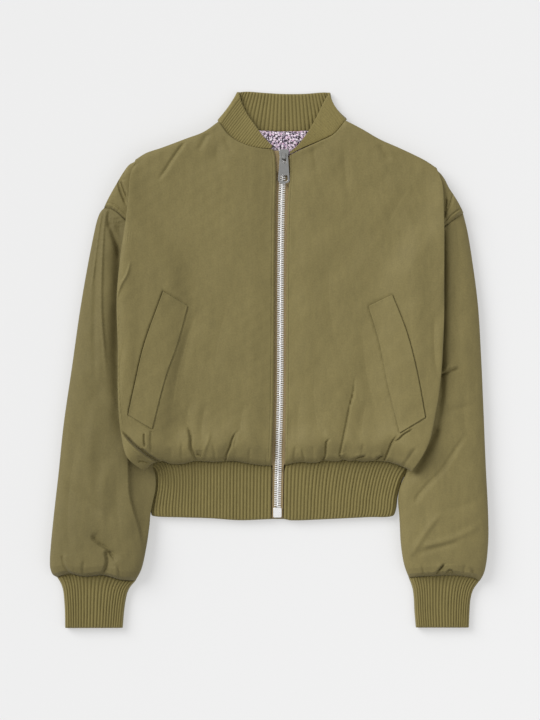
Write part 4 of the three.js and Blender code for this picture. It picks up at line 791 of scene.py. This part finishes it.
# %% Flattened tubes
def tube(edges, us, low_us, vs, heights, side, floor_side, slit, shape):
    """Upper wall H/2 (1 + q), lower wall H/2 (1 - q), with q a quarter ellipse from the sides;
    shape(points, reach) is added to the upper wall. slit = its inset, half height, columns, rows."""
    full = heights(vs)[:, None]
    upper = patch(edges, us, vs)
    far = reach(upper)
    soft = quarter(np.minimum(far["left"], far["right"]), side)
    top = np.dstack([upper, full / 2 * (1 + soft) + shape(upper, far) * soft])
    lower = patch(edges, low_us, vs)
    far = reach(lower)
    under = full / 2 * (1 - quarter(np.minimum(far["left"], far["right"]), floor_side))
    ring = np.concatenate([top, np.dstack([lower, under])[:, -2:0:-1]], axis=1)
    ring_us = np.r_[us / 2, (1 - low_us / 2)[-2:0:-1]]
    inset, half, columns, rows = slit
    su, sv = np.linspace(inset, 1 - inset, columns + 1), np.linspace(0, 1, rows + 1)
    middle = patch(edges, su, sv)
    lift = half * (np.abs(np.linspace(-1, 1, columns + 1)) < 1)
    z = (heights(sv)[:, None] / 2) * np.ones((1, columns + 1))
    gap = np.concatenate([np.dstack([middle, z + lift]), np.dstack([middle, z - lift])[:, -2:0:-1]], axis=1)
    share = np.linspace(0, 1, columns + 1)
    gap_us = np.r_[share / 2, (1 - share / 2)[-2:0:-1]]
    return shell((ring, ring_us, vs), (gap, gap_us, sv), wrap=True), top


# Share of the way from the armhole to the cuff, and the sleeve's height there.
SLEEVE_HEIGHTS = ((0, 21), (0.06, 23), (0.35, 25), (0.7, 27), (0.9, 30), (0.968, 28.8), (0.986, 26),
                  (0.995, 20.5), (1, 13))
print("sleeve height from", SLEEVE_HEIGHTS[0][1], "to", max(h for _, h in SLEEVE_HEIGHTS), "mm")

# %% Sleeves
SLOW, FINE = 0.8, 0.16  # heights of the slow and the fine unevenness
SLEEVE_ROUNDING, FLOOR_ROUNDING, SLEEVE_SLIT = 42, 12, (0.13, 0.45, 10, 18)


def sleeve(outer, inner, armhole, cuff_seam, table, lines, seed, turn, under):
    """Tube between the outer and inner edge, from the armhole (v = 0) to the cuff (v = 1), with
    creases, puckers at the cuff and, past the curve named under, the lower layer."""
    edges = {"left": curve(outer), "right": curve(inner), "top": curve(cuff_seam),
             "bottom": beside(curve(armhole), turn * -SEAM_OVERLAP)}
    pucker = gathers(seed, 15, (0.05, 0.95), (0.008, 0.02), (2, 8), (0.2, 0.9))

    def shape(grid, far):
        ends = smooth(far["bottom"] / 8) * smooth(far["top"] / 3)
        across = far["left"] / (far["left"] + far["right"] + 1e-9)
        layer = sum(ledge(curve(under), grid, width, drop) for width, drop in LEDGE_STEPS) if under else 0.0
        relief = (creases(table, grid) + fold_lines(lines, grid) + layer
                  + unevenness(grid, seed, 90, SLOW) + unevenness(grid, seed + 1, 30, FINE))
        return relief * ends - pucker(across, far["top"]) * smooth(far["top"] / 3)
    vs = np.r_[np.linspace(0, 0.9, 190, endpoint=False), np.linspace(0.9, 1, 60)]
    heights = lambda v: np.interp(v, *zip(*SLEEVE_HEIGHTS))
    return tube(edges, crowded(130, 0.6), crowded(28, 0.6), vs, heights, SLEEVE_ROUNDING, FLOOR_ROUNDING,
                SLEEVE_SLIT, shape)


sleeve_left, sleeve_left_top = sleeve(LEFT_SLEEVE_OUTER, LEFT_SLEEVE_INNER, LEFT_ARMHOLE, LEFT_CUFF_SEAM,
                                      LEFT_SLEEVE_CREASES, LEFT_SLEEVE_LINES, 3, -1, LEFT_SLEEVE_LEDGE)
sleeve_right, sleeve_right_top = sleeve(RIGHT_SLEEVE_OUTER, RIGHT_SLEEVE_INNER, RIGHT_ARMHOLE,
                                        RIGHT_CUFF_SEAM, RIGHT_SLEEVE_CREASES, RIGHT_SLEEVE_LINES, 5, 1, None)
# The left sleeve wears the darker twill, which is painted shade.
piece("sleeve_left_cloth", sleeve_left, painted_shade_twill, ["sleeve_left"])
piece("sleeve_right_cloth", sleeve_right, twill, ["sleeve_right"])

# %% [markdown]
# ## Shoulder caps
# The shoulder is dropped: each front runs out over the top of the arm as a cap, which ends at the
# armhole seam, and the body part of the front folds over it. The fold could be one long bent
# surface; two skins are simpler, the cap laid first and the front over it.

# %% Caps
CAP_OVERLAP = 1.0


def cap(seam, outline, seam_share, inner_point, lines, height=11.0):
    """Cap from the armhole seam up to the shoulder's outline, rounded along that outline."""
    edges = {"bottom": lambda t: seam(np.asarray(t) * seam_share), "top": outline,
             "left": curve([seam(np.array(0.0)), outline(np.array(0.0))]),
             "right": curve([seam(np.array(seam_share)), inner_point])}
    ground = Relief().lay(back_top).spread(1)

    def rule(grid, far):
        soft = quarter(far["top"], 12) * quarter(far["left"], 14)
        low = ground.at(grid) + 0.3 + (height - EDGE) / 2 * (1 - soft)
        swell = (unevenness(grid, 11, 60, 0.4) + fold_lines(lines, grid)) * soft
        wall = height * (1 + soft) / 2 * (0.5 + 0.5 * quarter(far["bottom"], 8)) + swell
        return low, low + np.maximum(EDGE, wall)
    return slab(edges, np.linspace(0, 1, 91), np.linspace(0, 1, 81),
                (np.linspace(0, 1, 31), np.linspace(0, 1, 28)), rule)


left_outline = curve([(-224.7, 205.1)] + LEFT_CAP[1:-1] + [(-182.3, 265.5), (-160, 267)])
right_outline = curve([(260.2, 198.5)] + RIGHT_CAP[::-1][1:-1] + [(224.1, 254), (204, 257)])
# Each cap covers this share of its armhole seam; the rest lies under the front.
LEFT_SHARE, RIGHT_SHARE = 0.68, 0.62
cap_left, cap_left_top = cap(beside(curve(LEFT_ARMHOLE), -CAP_OVERLAP), left_outline, LEFT_SHARE,
                             (-160, 267), LEFT_CAP_LINES)
cap_right, cap_right_top = cap(beside(curve(RIGHT_ARMHOLE), CAP_OVERLAP), right_outline, RIGHT_SHARE,
                               (204, 257), RIGHT_CAP_LINES)
print("highest points of the caps:", [top[..., 2].max().round(1) for top in (cap_left_top, cap_right_top)], "mm")

# %% [markdown]
# ## Pocket places
# A pocket is cut into the front and its mouth is covered by a stiff narrow strip, the welt. The
# strip is its own piece, made further on. Before the front is made, it has to know where the strip
# lies, because it dips a little under it, and a narrow groove on the outer side is the opening.

# %% Where the welts lie
WELTS = {
    "left": ({
        "bottom": [(-191, -75.7), (-159, -94.6)],
        "top": [(-144.3, 90.5), (-111.6, 70.9)],
        "left": [(-191, -75.7), (-182.3, -35.2), (-170.2, 16.9), (-144.3, 90.5)],
        "right": [(-159, -94.6), (-141.1, -25), (-125.4, 19.8), (-111.6, 70.9)],
    }, "left"),
    "right": ({
        "bottom": [(173.3, -99.8), (207.8, -79)],
        "top": [(132, 70.9), (163.9, 86.1)],
        "left": [(173.3, -99.8), (157.8, -37.1), (145.8, 23.6), (132, 70.9)],
        "right": [(207.8, -79), (197.4, -21.9), (183.6, 33.6), (163.9, 86.1)],
    }, "right"),
}


def welt_place(side, grid):
    """1 inside the welt's outline, 0 outside it, softened over about 2 mm."""
    edges = {edge: curve(points) for edge, points in WELTS[side][0].items()}
    plan = patch(edges, np.linspace(0, 1, 60), np.linspace(0, 1, 200))
    return smooth(Relief().lay(np.dstack([plan, np.ones(plan.shape[:2])])).blur(2.0).at(grid) * 1.6 - 0.3)


print("welts open on the", {side: opening for side, (_, opening) in WELTS.items()})

# %% [markdown]
# ## Fronts
# Each front is a thick padded panel that rests on everything below it: the back, the sleeve and its
# own cap. It folds round at the side, is held flat along the zip and blouses just above the rib,
# where its fullness is gathered into the seam. The front could be sculpted; adding it up, from the
# ground below, the wall, the pinched seams and the creases, keeps each part of its form apart.

# %% Fronts
NECK_MIDDLE, NECK_REACH, BLOUSE = 16, 80, 7


def front(edges, zip_side, table, lines, caps, step_share, seed):
    """Height = ground + wall * rounding * seams - pinches - stitching - pocket + creases. The wall
    swells by BLOUSE above the hem; step_share is how much of the cap props the front up."""
    step = caps[:, : int(caps.shape[1] * step_share)]
    raw = Relief().lay(back_top).lay(sleeve_left_top).lay(sleeve_right_top)
    rest = raw.spread(1)
    soft_ground = Relief(raw.field.copy()).lay(step, -3.5).spread(3).blur(11)
    fold_side = "left" if zip_side == "right" else "right"
    width = (-172.0, 2.0) if zip_side == "right" else (20.0, 190.0)
    pucker = gathers(seed, 46, width, (1.1, 2.6), (3, 12), (0.1, 0.8))
    rows, opening = WELTS[fold_side]

    def rule(grid, far):
        hem, zip_gap = far["bottom"], far[zip_side]
        neck = np.abs(grid[..., 0] - NECK_MIDDLE) < NECK_REACH
        soft = quarter(far[fold_side], 8) * quarter(far["top"], np.where(neck, 2.5, 8))
        at_hem = 0.25 + 0.75 * quarter(hem, 9)
        seams = at_hem * (0.5 + 0.22 * quarter(zip_gap, 4) + 0.28 * smooth(zip_gap / 34))
        wall = FRONT_WALL + BLOUSE * np.exp(-((hem - 26) / 19) ** 2)
        base = soft_ground.at(grid) + 0.6
        low = np.maximum(base + (wall - EDGE) / 2 * (1 - soft), rest.at(grid) + 0.3)
        pinch = pucker(grid[..., 0], hem) * smooth(hem / 2)
        topstitch = 0.6 * np.exp(-((zip_gap - 4) / 0.8) ** 2) * smooth(hem / 20)
        pocket = 1.2 * welt_place(fold_side, grid) - groove(curve(rows[opening]), grid, 1.0, 1.3)
        slow = creases(table, grid) + unevenness(grid, seed, 95, SLOW) + unevenness(grid, seed + 1, 28, FINE)
        detail = (slow * smooth(hem / 14) * smooth(far["top"] / 10)
                  + fold_lines(lines, grid) * smooth(hem / 2.5)) * soft
        full = wall * (1 + soft) / 2 * seams - pinch - topstitch - pocket + detail * smooth(zip_gap / 8)
        high = base + (wall - EDGE) / 2 * (1 - soft) + np.maximum(EDGE, full)
        return np.minimum(low, high - 1.5), high
    vs = np.r_[np.linspace(0, 0.16, 90, endpoint=False), np.linspace(0.16, 0.94, 160, endpoint=False),
               np.linspace(0.94, 1, 30)]
    return slab(edges, crowded(250, 0.55), vs, (crowded(50, 0.5), crowded(60, 0.5)), rule)


LEFT_NECK_CORNER, RIGHT_NECK_CORNER = 14 / 24, 10 / 24
left_edges = {"bottom": curve(LEFT_HEM_SEAM), "left": curve(LEFT_FOLD), "right": curve(LEFT_ZIP_EDGE),
              "top": joined(curve(LEFT_SHOULDER), beside(curve(LEFT_NECK), 0.5), LEFT_NECK_CORNER)}
right_edges = {"bottom": curve(RIGHT_HEM_SEAM), "left": curve(RIGHT_ZIP_EDGE), "right": curve(RIGHT_FOLD),
               "top": joined(beside(curve(RIGHT_NECK[::-1]), 1.0), curve(RIGHT_SHOULDER[::-1]),
                             RIGHT_NECK_CORNER)}
front_left, front_left_top = front(left_edges, "right", LEFT_FRONT_CREASES, LEFT_FRONT_LINES,
                                   cap_left_top, 0.62, 21)
front_right, front_right_top = front(right_edges, "left", RIGHT_FRONT_CREASES, RIGHT_FRONT_LINES,
                                     cap_right_top, 0.58, 23)
piece("front_left_cloth", merged(front_left, cap_left), twill, ["front_left"])
piece("front_right_cloth", merged(front_right, cap_right), twill, ["front_right"])

# %% [markdown]
# ## Ribbed hem
# Rib knit is a row of rounded ribs with narrow valleys between them. A bump map would do from afar,
# but the rim of the band would stay smooth, so the ribs are real relief. Their profile is |sin|
# raised to a low power, which gives exactly that. The band is one strip that runs from the zip round
# one side, across the back and round the other side to the zip again; its ribs are wider at the
# zip and closer together at the fold, where the band turns away.

# %% Ribs and the hem band
RIB_RELIEF, HEM_WALL, HEM_SLIT, HEM_RIBS, HEM_DEPTH = 2.4, 3.7, 1.1, 36, 70.0
HEM_TOP, HEM_MIDDLE_LEFT, ZIP_HALF, HEM_TUCK = -147, -156.0, 8.6, 1.2
# Rows: how far below the seam, then x of the band's left and right side.
HEM_SIDES = [(0, -167, 185), (5.6, -160, 182.4), (12.6, -155.2, 178.8), (21, -153, 175.2),
             (33.6, -153.4, 171.2), (47.6, -156.2, 168), (61.6, -158.4, 166.4), (70, -157.4, 163.5)]
HEM_FREE_EDGE = [(-170, -210.6), (-155.9, -214), (-122.2, -215.3), (-81, -216.6), (-41.2, -219.2),
                 (0, -217.7), (19.6, -217.7), (26.3, -219.2), (80.3, -217.6), (135, -215),
                 (161.3, -214.4), (176, -210)]
left_side = look_up([(down, left) for down, left, _ in HEM_SIDES])
right_side = look_up([(down, right) for down, _, right in HEM_SIDES])


def rib(count):
    """Rounded ribs: |sin(pi n)| ** 0.7, one for each whole number."""
    return np.abs(np.sin(np.pi * count)) ** 0.7


def hem_grid(us, downs, outside):
    """Band points: x along five runs (front, fold, back, fold, front), y down from the seam. On a
    fold, x and z go round half a circle; on a front, z is lifted by the ribs."""
    run = np.minimum(us.astype(int), 4)
    share, down = (us - run)[None], downs[:, None]
    left, right = left_side(HEM_DEPTH * down), right_side(HEM_DEPTH * down)
    edge = 0.3 + 0.7 * quarter(HEM_DEPTH * np.minimum(down, 1 - down), 3.2)
    middle = HEM_WALL + HEM_SLIT / 2
    radius = middle - HEM_WALL / 2 * (1 - edge) if outside else HEM_SLIT / 2 + 0 * edge
    zip_x, turn = zip_middle(HEM_TOP - HEM_DEPTH * down), np.pi * share
    from_zip = np.where(run == 0, us, 5 - us)[None]
    count = np.where(run == 0, HEM_RIBS, HEM_RIBS - 2)[None]
    ribs = RIB_RELIEF * rib(count * (0.92 * from_zip + 0.08 * from_zip**2)) * edge * outside
    x = [zip_x - ZIP_HALF + (HEM_MIDDLE_LEFT - zip_x + ZIP_HALF) * share
         + (left - HEM_MIDDLE_LEFT) * share**5,
         left - radius * np.sin(turn), left + (right - left) * share,
         right + radius * np.sin(turn), right + (zip_x + ZIP_HALF - right) * share]
    z = [middle + radius + ribs, middle + radius * np.cos(turn), middle - radius + 0 * turn,
         middle - radius * np.cos(turn), middle + radius + ribs]
    shape = (len(downs), len(us))
    spread_out = lambda v: np.broadcast_to(v, shape)
    x, z = (np.choose(spread_out(run), [spread_out(v) for v in rows]) for rows in (x, z))
    seam = look_up(HEM_SEAM)(x) + HEM_TUCK
    return np.dstack([x, seam + (look_up(HEM_FREE_EDGE)(x) - seam) * down, np.maximum(z, 0)]), us, downs


def runs(counts):
    """Parameters of runs laid end to end: k + i / n for the i-th of n steps of run k."""
    steps = [k + np.arange(n) / n for k, n in enumerate(counts)]
    return np.concatenate(steps + [np.array([float(len(counts))])])


down_rows = np.r_[0, 0.008, 0.02, 0.04, np.linspace(0.08, 0.92, 12), 0.96, 0.98, 0.992, 1]
hem_skin = shell(hem_grid(runs([288, 10, 40, 10, 288]), down_rows, True),
                 hem_grid(runs([28, 2, 20, 2, 28]), np.linspace(0, 1, 5), False))
hem = piece("hem_rib_band", hem_skin, knit, ["hem_band"])

# %% [markdown]
# ## Ribbed cuffs
# A cuff is a short tube of the same rib, pressed flat, a little waisted where the knit pulls in. It
# uses the sleeve's tube with the ribs added to its upper wall, and it reaches a little way into the
# sleeve, as a sewn seam does.

# %% Cuffs
CUFF_RIBS, CUFF_HEIGHT, CUFF_TUCK, CUFF_DEPTH = 22, 9.6, -1.8, 62
CUFF_ROUNDING, CUFF_SLIT = 6, (0.08, 0.7, 8, 6)
# Outer edge, inner edge and seam of each cuff, from the sleeve to the opening.
CUFFS = {
    "left": (
        [(-289.5, -296.4), (-284.4, -304.8), (-281.4, -314), (-280, -326), (-279, -342), (-278.6, -365.4)],
        [(-183, -301.2), (-192.4, -313.3), (-197, -331.4), (-200.5, -365.2)],
        LEFT_CUFF_SEAM),
    "right": (
        [(283, -302), (275, -313.5), (271.4, -326), (270, -342), (269, -364.8)],
        [(187.4, -297), (192.4, -311), (194.4, -326), (195.1, -342.2), (197.1, -364.8)],
        RIGHT_CUFF_SEAM),
}


def cuff_ribs(grid, far):
    """Ribs counted across the cuff, a little closer together near its sides."""
    share = far["left"] / (far["left"] + far["right"] + 1e-9)
    return RIB_RELIEF * rib(CUFF_RIBS * (share + 0.03 * np.sin(2 * np.pi * share)))


for side, (outer, inner, seam) in CUFFS.items():
    cuff_edges = {"left": curve(outer), "right": curve(inner), "bottom": beside(curve(seam), CUFF_TUCK),
                  "top": curve([outer[-1], inner[-1]])}
    swell = lambda v: CUFF_HEIGHT * (0.6 + 0.4 * quarter(CUFF_DEPTH * np.minimum(v, 1 - v), 2.6))
    cuff_skin, _ = tube(cuff_edges, np.linspace(0, 1, CUFF_RIBS * 8 + 1), np.linspace(0, 1, 20), down_rows,
                        swell, CUFF_ROUNDING, CUFF_ROUNDING, CUFF_SLIT, cuff_ribs)
    cuff = piece(f"cuff_{side}_knit", cuff_skin, knit, [f"cuff_{side}"])

# %% [markdown]
# ## Collar
# The collar is one strip of rib. It starts at one end of the zip, rises along the neckline, folds
# over at the side of the neck, passes behind the neck and comes back the same way. Cutting it into
# three flat pieces would leave seams that the real one doesn't have. Each station below holds the
# strip's seam edge and its free edge; the strip is the straight line between them.

# %% Collar strip
COLLAR_WALL, COLLAR_RIBS, COLLAR_DEPTH, COLLAR_WAIST, COLLAR_TUCK = 3.4, 82, 42, (2.4, 6.6), 0.06
OUTER_RIB, INNER_RIB = 0.9, 1.9
# Each front end of the collar takes 23 of the ribs over 0.23 of its length; the rest go behind.
RIB_STATIONS = (0, 0.23, 0.77, 1), (0, 23, COLLAR_RIBS - 23, COLLAR_RIBS)
COLLAR = [(0.6, 283.6, 17.4, 2.6, 287.6, 17.4), (-18.2, 285.6, 16.4, -8.1, 298.4, 15.8),
          (-37.1, 291.2, 15.8, -19.6, 313.9, 13.2), (-55, 303, 15.4, -32.4, 332.8, 8.6),
          (-64.8, 314.5, 14.6, -39.8, 349, 7.4), (-68, 321, 13.2, -42.2, 358.6, 7.1),
          (-69.4, 323.6, 8.6, -43.9, 361, 4.6), (-66, 321, 3.4, -41.4, 361.6, 1.75),
          (-47, 314.4, 2.1, -30, 362.2, 1.75), (-16, 310.4, 2, -8, 360.6, 1.75),
          (18.2, 308.8, 2, 18, 359.1, 1.75), (52, 310.2, 2, 46.6, 359.3, 1.75),
          (82, 316, 2.1, 68.5, 361, 1.75), (97.4, 322.4, 3.4, 77.2, 361, 1.75),
          (101, 325, 8.6, 79.9, 360.2, 4.6), (99.6, 322.6, 13.2, 78.2, 357.6, 7.1),
          (94.6, 316.3, 14.6, 72.2, 347.6, 7.4), (84.6, 304.8, 15.4, 62.8, 328, 8.8),
          (65.8, 294.9, 15.8, 51.3, 307.8, 14.4), (44, 285.2, 16.6, 38.6, 290.4, 16.2),
          (26.4, 276.4, 18, 28, 280.6, 18)]
strip = curve(COLLAR)


def collar_grid(us, downs, outside):
    """P = S + down * (F - S) +- n * (wall / 2 + rib), n the unit normal of the strip."""
    along, ahead = strip(us), strip(np.clip(us + 0.004, 0, 1)) - strip(np.clip(us - 0.004, 0, 1))
    down = downs[:, None, None]
    point = along[None, :, :3] + down * (along[:, 3:] - along[:, :3])[None]
    forward = ahead[None, :, :3] + down * (ahead[:, 3:] - ahead[:, :3])[None]
    normal = np.cross(np.broadcast_to((along[:, 3:] - along[:, :3])[None], forward.shape), forward)
    normal /= np.linalg.norm(normal, axis=-1, keepdims=True)
    edge = 0.35 + 0.65 * quarter(COLLAR_DEPTH * np.minimum(downs + COLLAR_TUCK, 1 - downs), 2.2)[:, None]
    up = np.clip(normal[..., 2] * (1 if outside else -1), 0, 1)
    ribs = (OUTER_RIB if outside else INNER_RIB) * up * edge * (rib(np.interp(us, *RIB_STATIONS))[None] - 0.5)
    depth = COLLAR_WALL / 2 * edge + ribs
    point = point + normal * (depth if outside else -depth)[..., None]
    waist = np.where(us < 0.5, *COLLAR_WAIST)[None]
    point[..., 0] -= waist * np.clip(4 * downs * (1 - downs), 0, 1)[:, None] * normal[..., 0]
    point[..., 2] = np.maximum(point[..., 2], 0)
    return point, us, downs


collar_downs = np.r_[-COLLAR_TUCK, -0.045, -0.02, 0.03, np.linspace(0.14, 0.86, 8), 0.94, 0.97, 0.988, 1]
collar_us = np.linspace(0, 1, COLLAR_RIBS * 8 + 1)
collar_skin = shell(collar_grid(collar_us, collar_downs, True), collar_grid(collar_us, collar_downs, False))
collar = piece("collar_knit", collar_skin, knit, ["collar"])

# %% [markdown]
# ## Lining
# The lining shows in the gap between the collar's ends, on the inside of the back. It is thin cloth
# that could be shrink-wrapped onto the wadding; the relief map gives the same result without a
# modifier: its height is the ground's, and the wall is added on top.

# %% Lining
LINING = {
    "bottom": [(-16, 262), (18, 259), (54, 261)],
    "top": [(-47, 313), (-18, 309.4), (18, 307.8), (55, 309.2), (83, 313.4)],
    "left": [(-16, 262), (-34, 288), (-47, 313)],
    "right": [(54, 261), (71, 286), (83, 313.4)],
}


def leaf(edges, us, vs, wall, floor, lift=lambda grid, far: 0.0, gap=0.3, round_edge=1.2):
    """Thin cloth: underside = floor + gap, top = underside + wall * (0.3 + 0.7 q) + lift."""
    grid = patch(edges, us, vs)
    far = reach(grid)
    near = np.minimum(np.minimum(far["left"], far["right"]), np.minimum(far["top"], far["bottom"]))
    low = floor(grid) + gap
    high = low + wall * (0.3 + 0.7 * quarter(near, round_edge)) + lift(grid, far)
    top = np.dstack([grid, high])
    return shell((top, us, vs), (np.dstack([grid, low]), us, vs)), top


def ripple(grid, far):
    """Slight waves, 26 mm long, because lining is cut a little larger than the shell."""
    return 0.5 + unevenness(grid, 31, 26, 0.35)


lining_edges = {side: curve(rows) for side, rows in LINING.items()}
lining_skin, lining_top = leaf(lining_edges, np.linspace(0, 1, 61), np.linspace(0, 1, 41), 1.0,
                               Relief().lay(back_top).spread(1).at, ripple)
lining = piece("flower_lining", lining_skin, lining_cloth, ["lining_back"])

# %% [markdown]
# ## Zip tapes
# The tapes carry the teeth and are sewn under the edges of the fronts and the hem. Only a narrow
# strip of each shows. Both follow the zip's middle line, which isn't quite straight, and they rest
# on what is below them: the back, the lining, and at the bottom the back run of the hem band.

# %% Zip tapes
hem_back_run = hem_grid(np.linspace(2.001, 2.999, 160), np.linspace(0, 1, 30), False)[0]
zip_ground = Relief().lay(back_top).lay(lining_top).lay(hem_back_run).spread(3)
TAPE_LOW, TAPE_HIGH, TAPE_INNER, TAPE_BOTTOM = 2.6, 3.8, 2.2, -216.5


def zip_floor(y):
    """Height of the ground below the zip's middle line."""
    return zip_ground.at(np.stack([zip_middle(y), y], -1))


def tape_reach(y):
    """Half width of the zip with its tapes: 7.6 mm in the hem, 15 mm in the body."""
    return 7.6 + 7.4 * smooth((y + 146) / 14)


def tape_skin(ys, sign, columns=6):
    """Strip from TAPE_INNER to tape_reach beside the zip's middle line, following its floor."""
    us, vs = np.linspace(0, 1, columns + 1), np.linspace(0, 1, len(ys))
    inner, outer = sign * TAPE_INNER, sign * tape_reach(ys)
    x = zip_middle(ys)[:, None] + inner + (outer[:, None] - inner) * us
    y, floor = np.broadcast_to(ys[:, None], x.shape), zip_floor(ys)[:, None] + 0 * x
    return shell((np.dstack([x, y, floor + TAPE_HIGH]), us, vs),
                 (np.dstack([x, y, floor + TAPE_LOW]), us, vs))


for side, sign, top in (("left", -1, 281.0), ("right", 1, 273.0)):
    tape = piece(f"zip_tape_{side}_cloth", tape_skin(np.linspace(TAPE_BOTTOM, top, 260), sign), tape_weave,
                 [f"zip_tape_{side}"])

# %% [markdown]
# ## Zip teeth
# Each tooth is a small cast block clamped on the tape's edge: broad at the foot, narrower at the
# head, with the top rounded over. Left and right teeth alternate by half a pitch, so their heads
# pass each other in the middle. There are hundreds, so the block has only a few dozen faces, and
# all copies are placed at once by adding their places to its points.

# %% Teeth
TOOTH_PITCH, TOOTH_LIFT = 2.95, 2.4
TOOTH_OUTLINE = np.array([
    (4.5, -0.9), (4.5, 0.9), (2.3, 0.95), (1.2, 0.78), (-0.75, 0.72), (-1.35, 0.3), (-1.35, -0.3),
    (-0.75, -0.72), (1.2, -0.78), (2.3, -0.95)])
TOOTH_LEVELS = ((0.0, 0.85), (0.5, 1.0), (2.0, 1.0), (2.75, 0.62))
END_QUADS = np.array([(0, 9, 8, 2), (2, 8, 7, 3), (3, 7, 6, 4)])
END_TRIS = np.array([(0, 2, 1), (4, 6, 5)])


def tooth_block():
    """The outline at four levels (height, scale about its middle), closed flat at both ends."""
    middle, count = np.array([1.2, 0.0]), len(TOOTH_OUTLINE)
    rings = np.vstack([np.c_[middle + (TOOTH_OUTLINE - middle) * scale, np.full(count, z)]
                       for z, scale in TOOTH_LEVELS])
    k = np.arange(count)
    sides = np.vstack([np.c_[k, (k + 1) % count, (k + 1) % count + count, k + count] + count * level
                       for level in range(3)])
    top = 3 * count
    return (rings, np.vstack([sides, END_QUADS, END_QUADS[:, ::-1] + top]),
            np.vstack([END_TRIS, END_TRIS[:, ::-1] + top]))


def teeth(ys, sign):
    """Copies of the block at each y, mirrored for the other side; the zip's floor sets the height."""
    rings, quads, tris = tooth_block()
    place = np.stack([zip_middle(ys), ys, zip_floor(ys) + TOOTH_LIFT], -1)
    points = (rings * (sign, 1, 1))[None] + place[:, None]
    shift = (len(rings) * np.arange(len(ys)))[:, None, None]
    return points.reshape(-1, 3), (quads[None] + shift).reshape(-1, 4), (tris[None] + shift).reshape(-1, 3)


tooth_rows = np.arange(-200.5, 267.5, TOOTH_PITCH)
zip_skin = merged(turned_out(teeth(tooth_rows, 1)), turned_out(teeth(tooth_rows + TOOTH_PITCH / 2, -1)))
zip_teeth = piece("zip_teeth", zip_skin, bright_metal, ["zip_chain"])
zip_teeth.data.polygons.foreach_set("use_smooth", np.zeros(len(zip_teeth.data.polygons), bool))
print("teeth:", 2 * len(tooth_rows))

# %% [markdown]
# ## Pocket welts
# A welt is a narrow folded strip that stiffens the pocket's mouth. It lies on the front, sewn along
# its inner side and its two ends; the outer side is the opening. It is a leaf on the relief of its
# own front, so that it follows the wadding without cutting into it.

# %% Welts
WELT_WALL, WELT_GAP, WELT_ROUNDING = 1.7, 0.25, {"left": 0.8, "right": 1.5}


def welt_swell(grid, far):
    """Slow waves that die out toward both long sides."""
    return unevenness(grid, 41, 50, 0.25) * quarter(np.minimum(far["left"], far["right"]), 6)


for side, top in (("left", front_left_top), ("right", front_right_top)):
    welt_edges = {edge: curve(points) for edge, points in WELTS[side][0].items()}
    front_floor = Relief().lay(top).blur(2.0)
    welt_skin, _ = leaf(welt_edges, crowded(40, 0.7), crowded(120, 0.7), WELT_WALL, front_floor.at,
                        welt_swell, gap=WELT_GAP, round_edge=WELT_ROUNDING[side])
    welt = piece(f"pocket_welt_{side}", welt_skin, twill, [f"welt_{side}"])

# %% [markdown]
# ## Zip hardware
# Slider, bottom box and pull tab are plain metal castings. They could be drawn again, but their
# solids are already the right shape, so they stay and only get a better metal.

# %% Metal on the solids
for name, metal in (("zip_slider", satin_metal), ("zip_stop", bright_metal), ("pull_tab", satin_metal)):
    for solid in [o for o in bpy.data.objects if o.type == "MESH" and o.name.startswith(name)]:
        for slot in solid.material_slots:
            slot.material = metal
        print(solid.name, "now", metal.name)

# %% [markdown]
# ## Light and surface
# A studio flat lay has one broad softbox over the upper left, which gives the faint shadows to the
# right of each fold, and white walls that fill the rest. Here a sun with a wide angle is the softbox,
# a large area lamp lightens the far side, and a pale sky stands for the walls. The jacket lies on a
# table that is slightly lit from below, so that its shadow stays thin.

# %% Surface and lights
bpy.ops.mesh.primitive_plane_add(size=12, location=(0, 0, -0.0004))
surface_plane = bpy.context.object
surface_plane.name = "pale_surface"
pale, _, _ = material("pale_light_table", (0.42, 0.42, 0.42), 0.9, Emission_Color=(1, 1, 1, 1),
                      Emission_Strength=0.40)
surface_plane.data.materials.append(pale)


def lamp(name, kind, place, aim=(0, 0, 0), **settings):
    """Light of the given kind at a place, turned toward its aim."""
    data = bpy.data.lights.new(name, kind)
    for key, value in settings.items():
        setattr(data, key, value)
    made = bpy.data.objects.new(name, data)
    made.location = place
    made.rotation_euler = (Vector(aim) - Vector(place)).to_track_quat("-Z", "Y").to_euler()
    bpy.context.scene.collection.objects.link(made)
    return made


lamps = [lamp("key_light", "SUN", (-1.5, 1.2, 1.35), energy=2.5, angle=math.radians(38)),
         lamp("fill_light", "AREA", (1.4, -0.9, 2.2), size=2.0, energy=12)]
world = bpy.data.worlds.new("pale_sky")
world.use_nodes = True
world.node_tree.nodes["Background"].inputs["Color"].default_value = (1, 1, 1, 1)
world.node_tree.nodes["Background"].inputs["Strength"].default_value = 0.52
bpy.context.scene.world = world
bpy.context.scene.view_settings.view_transform = "Standard"
print("lights:", [made.name for made in lamps], "and the sky")
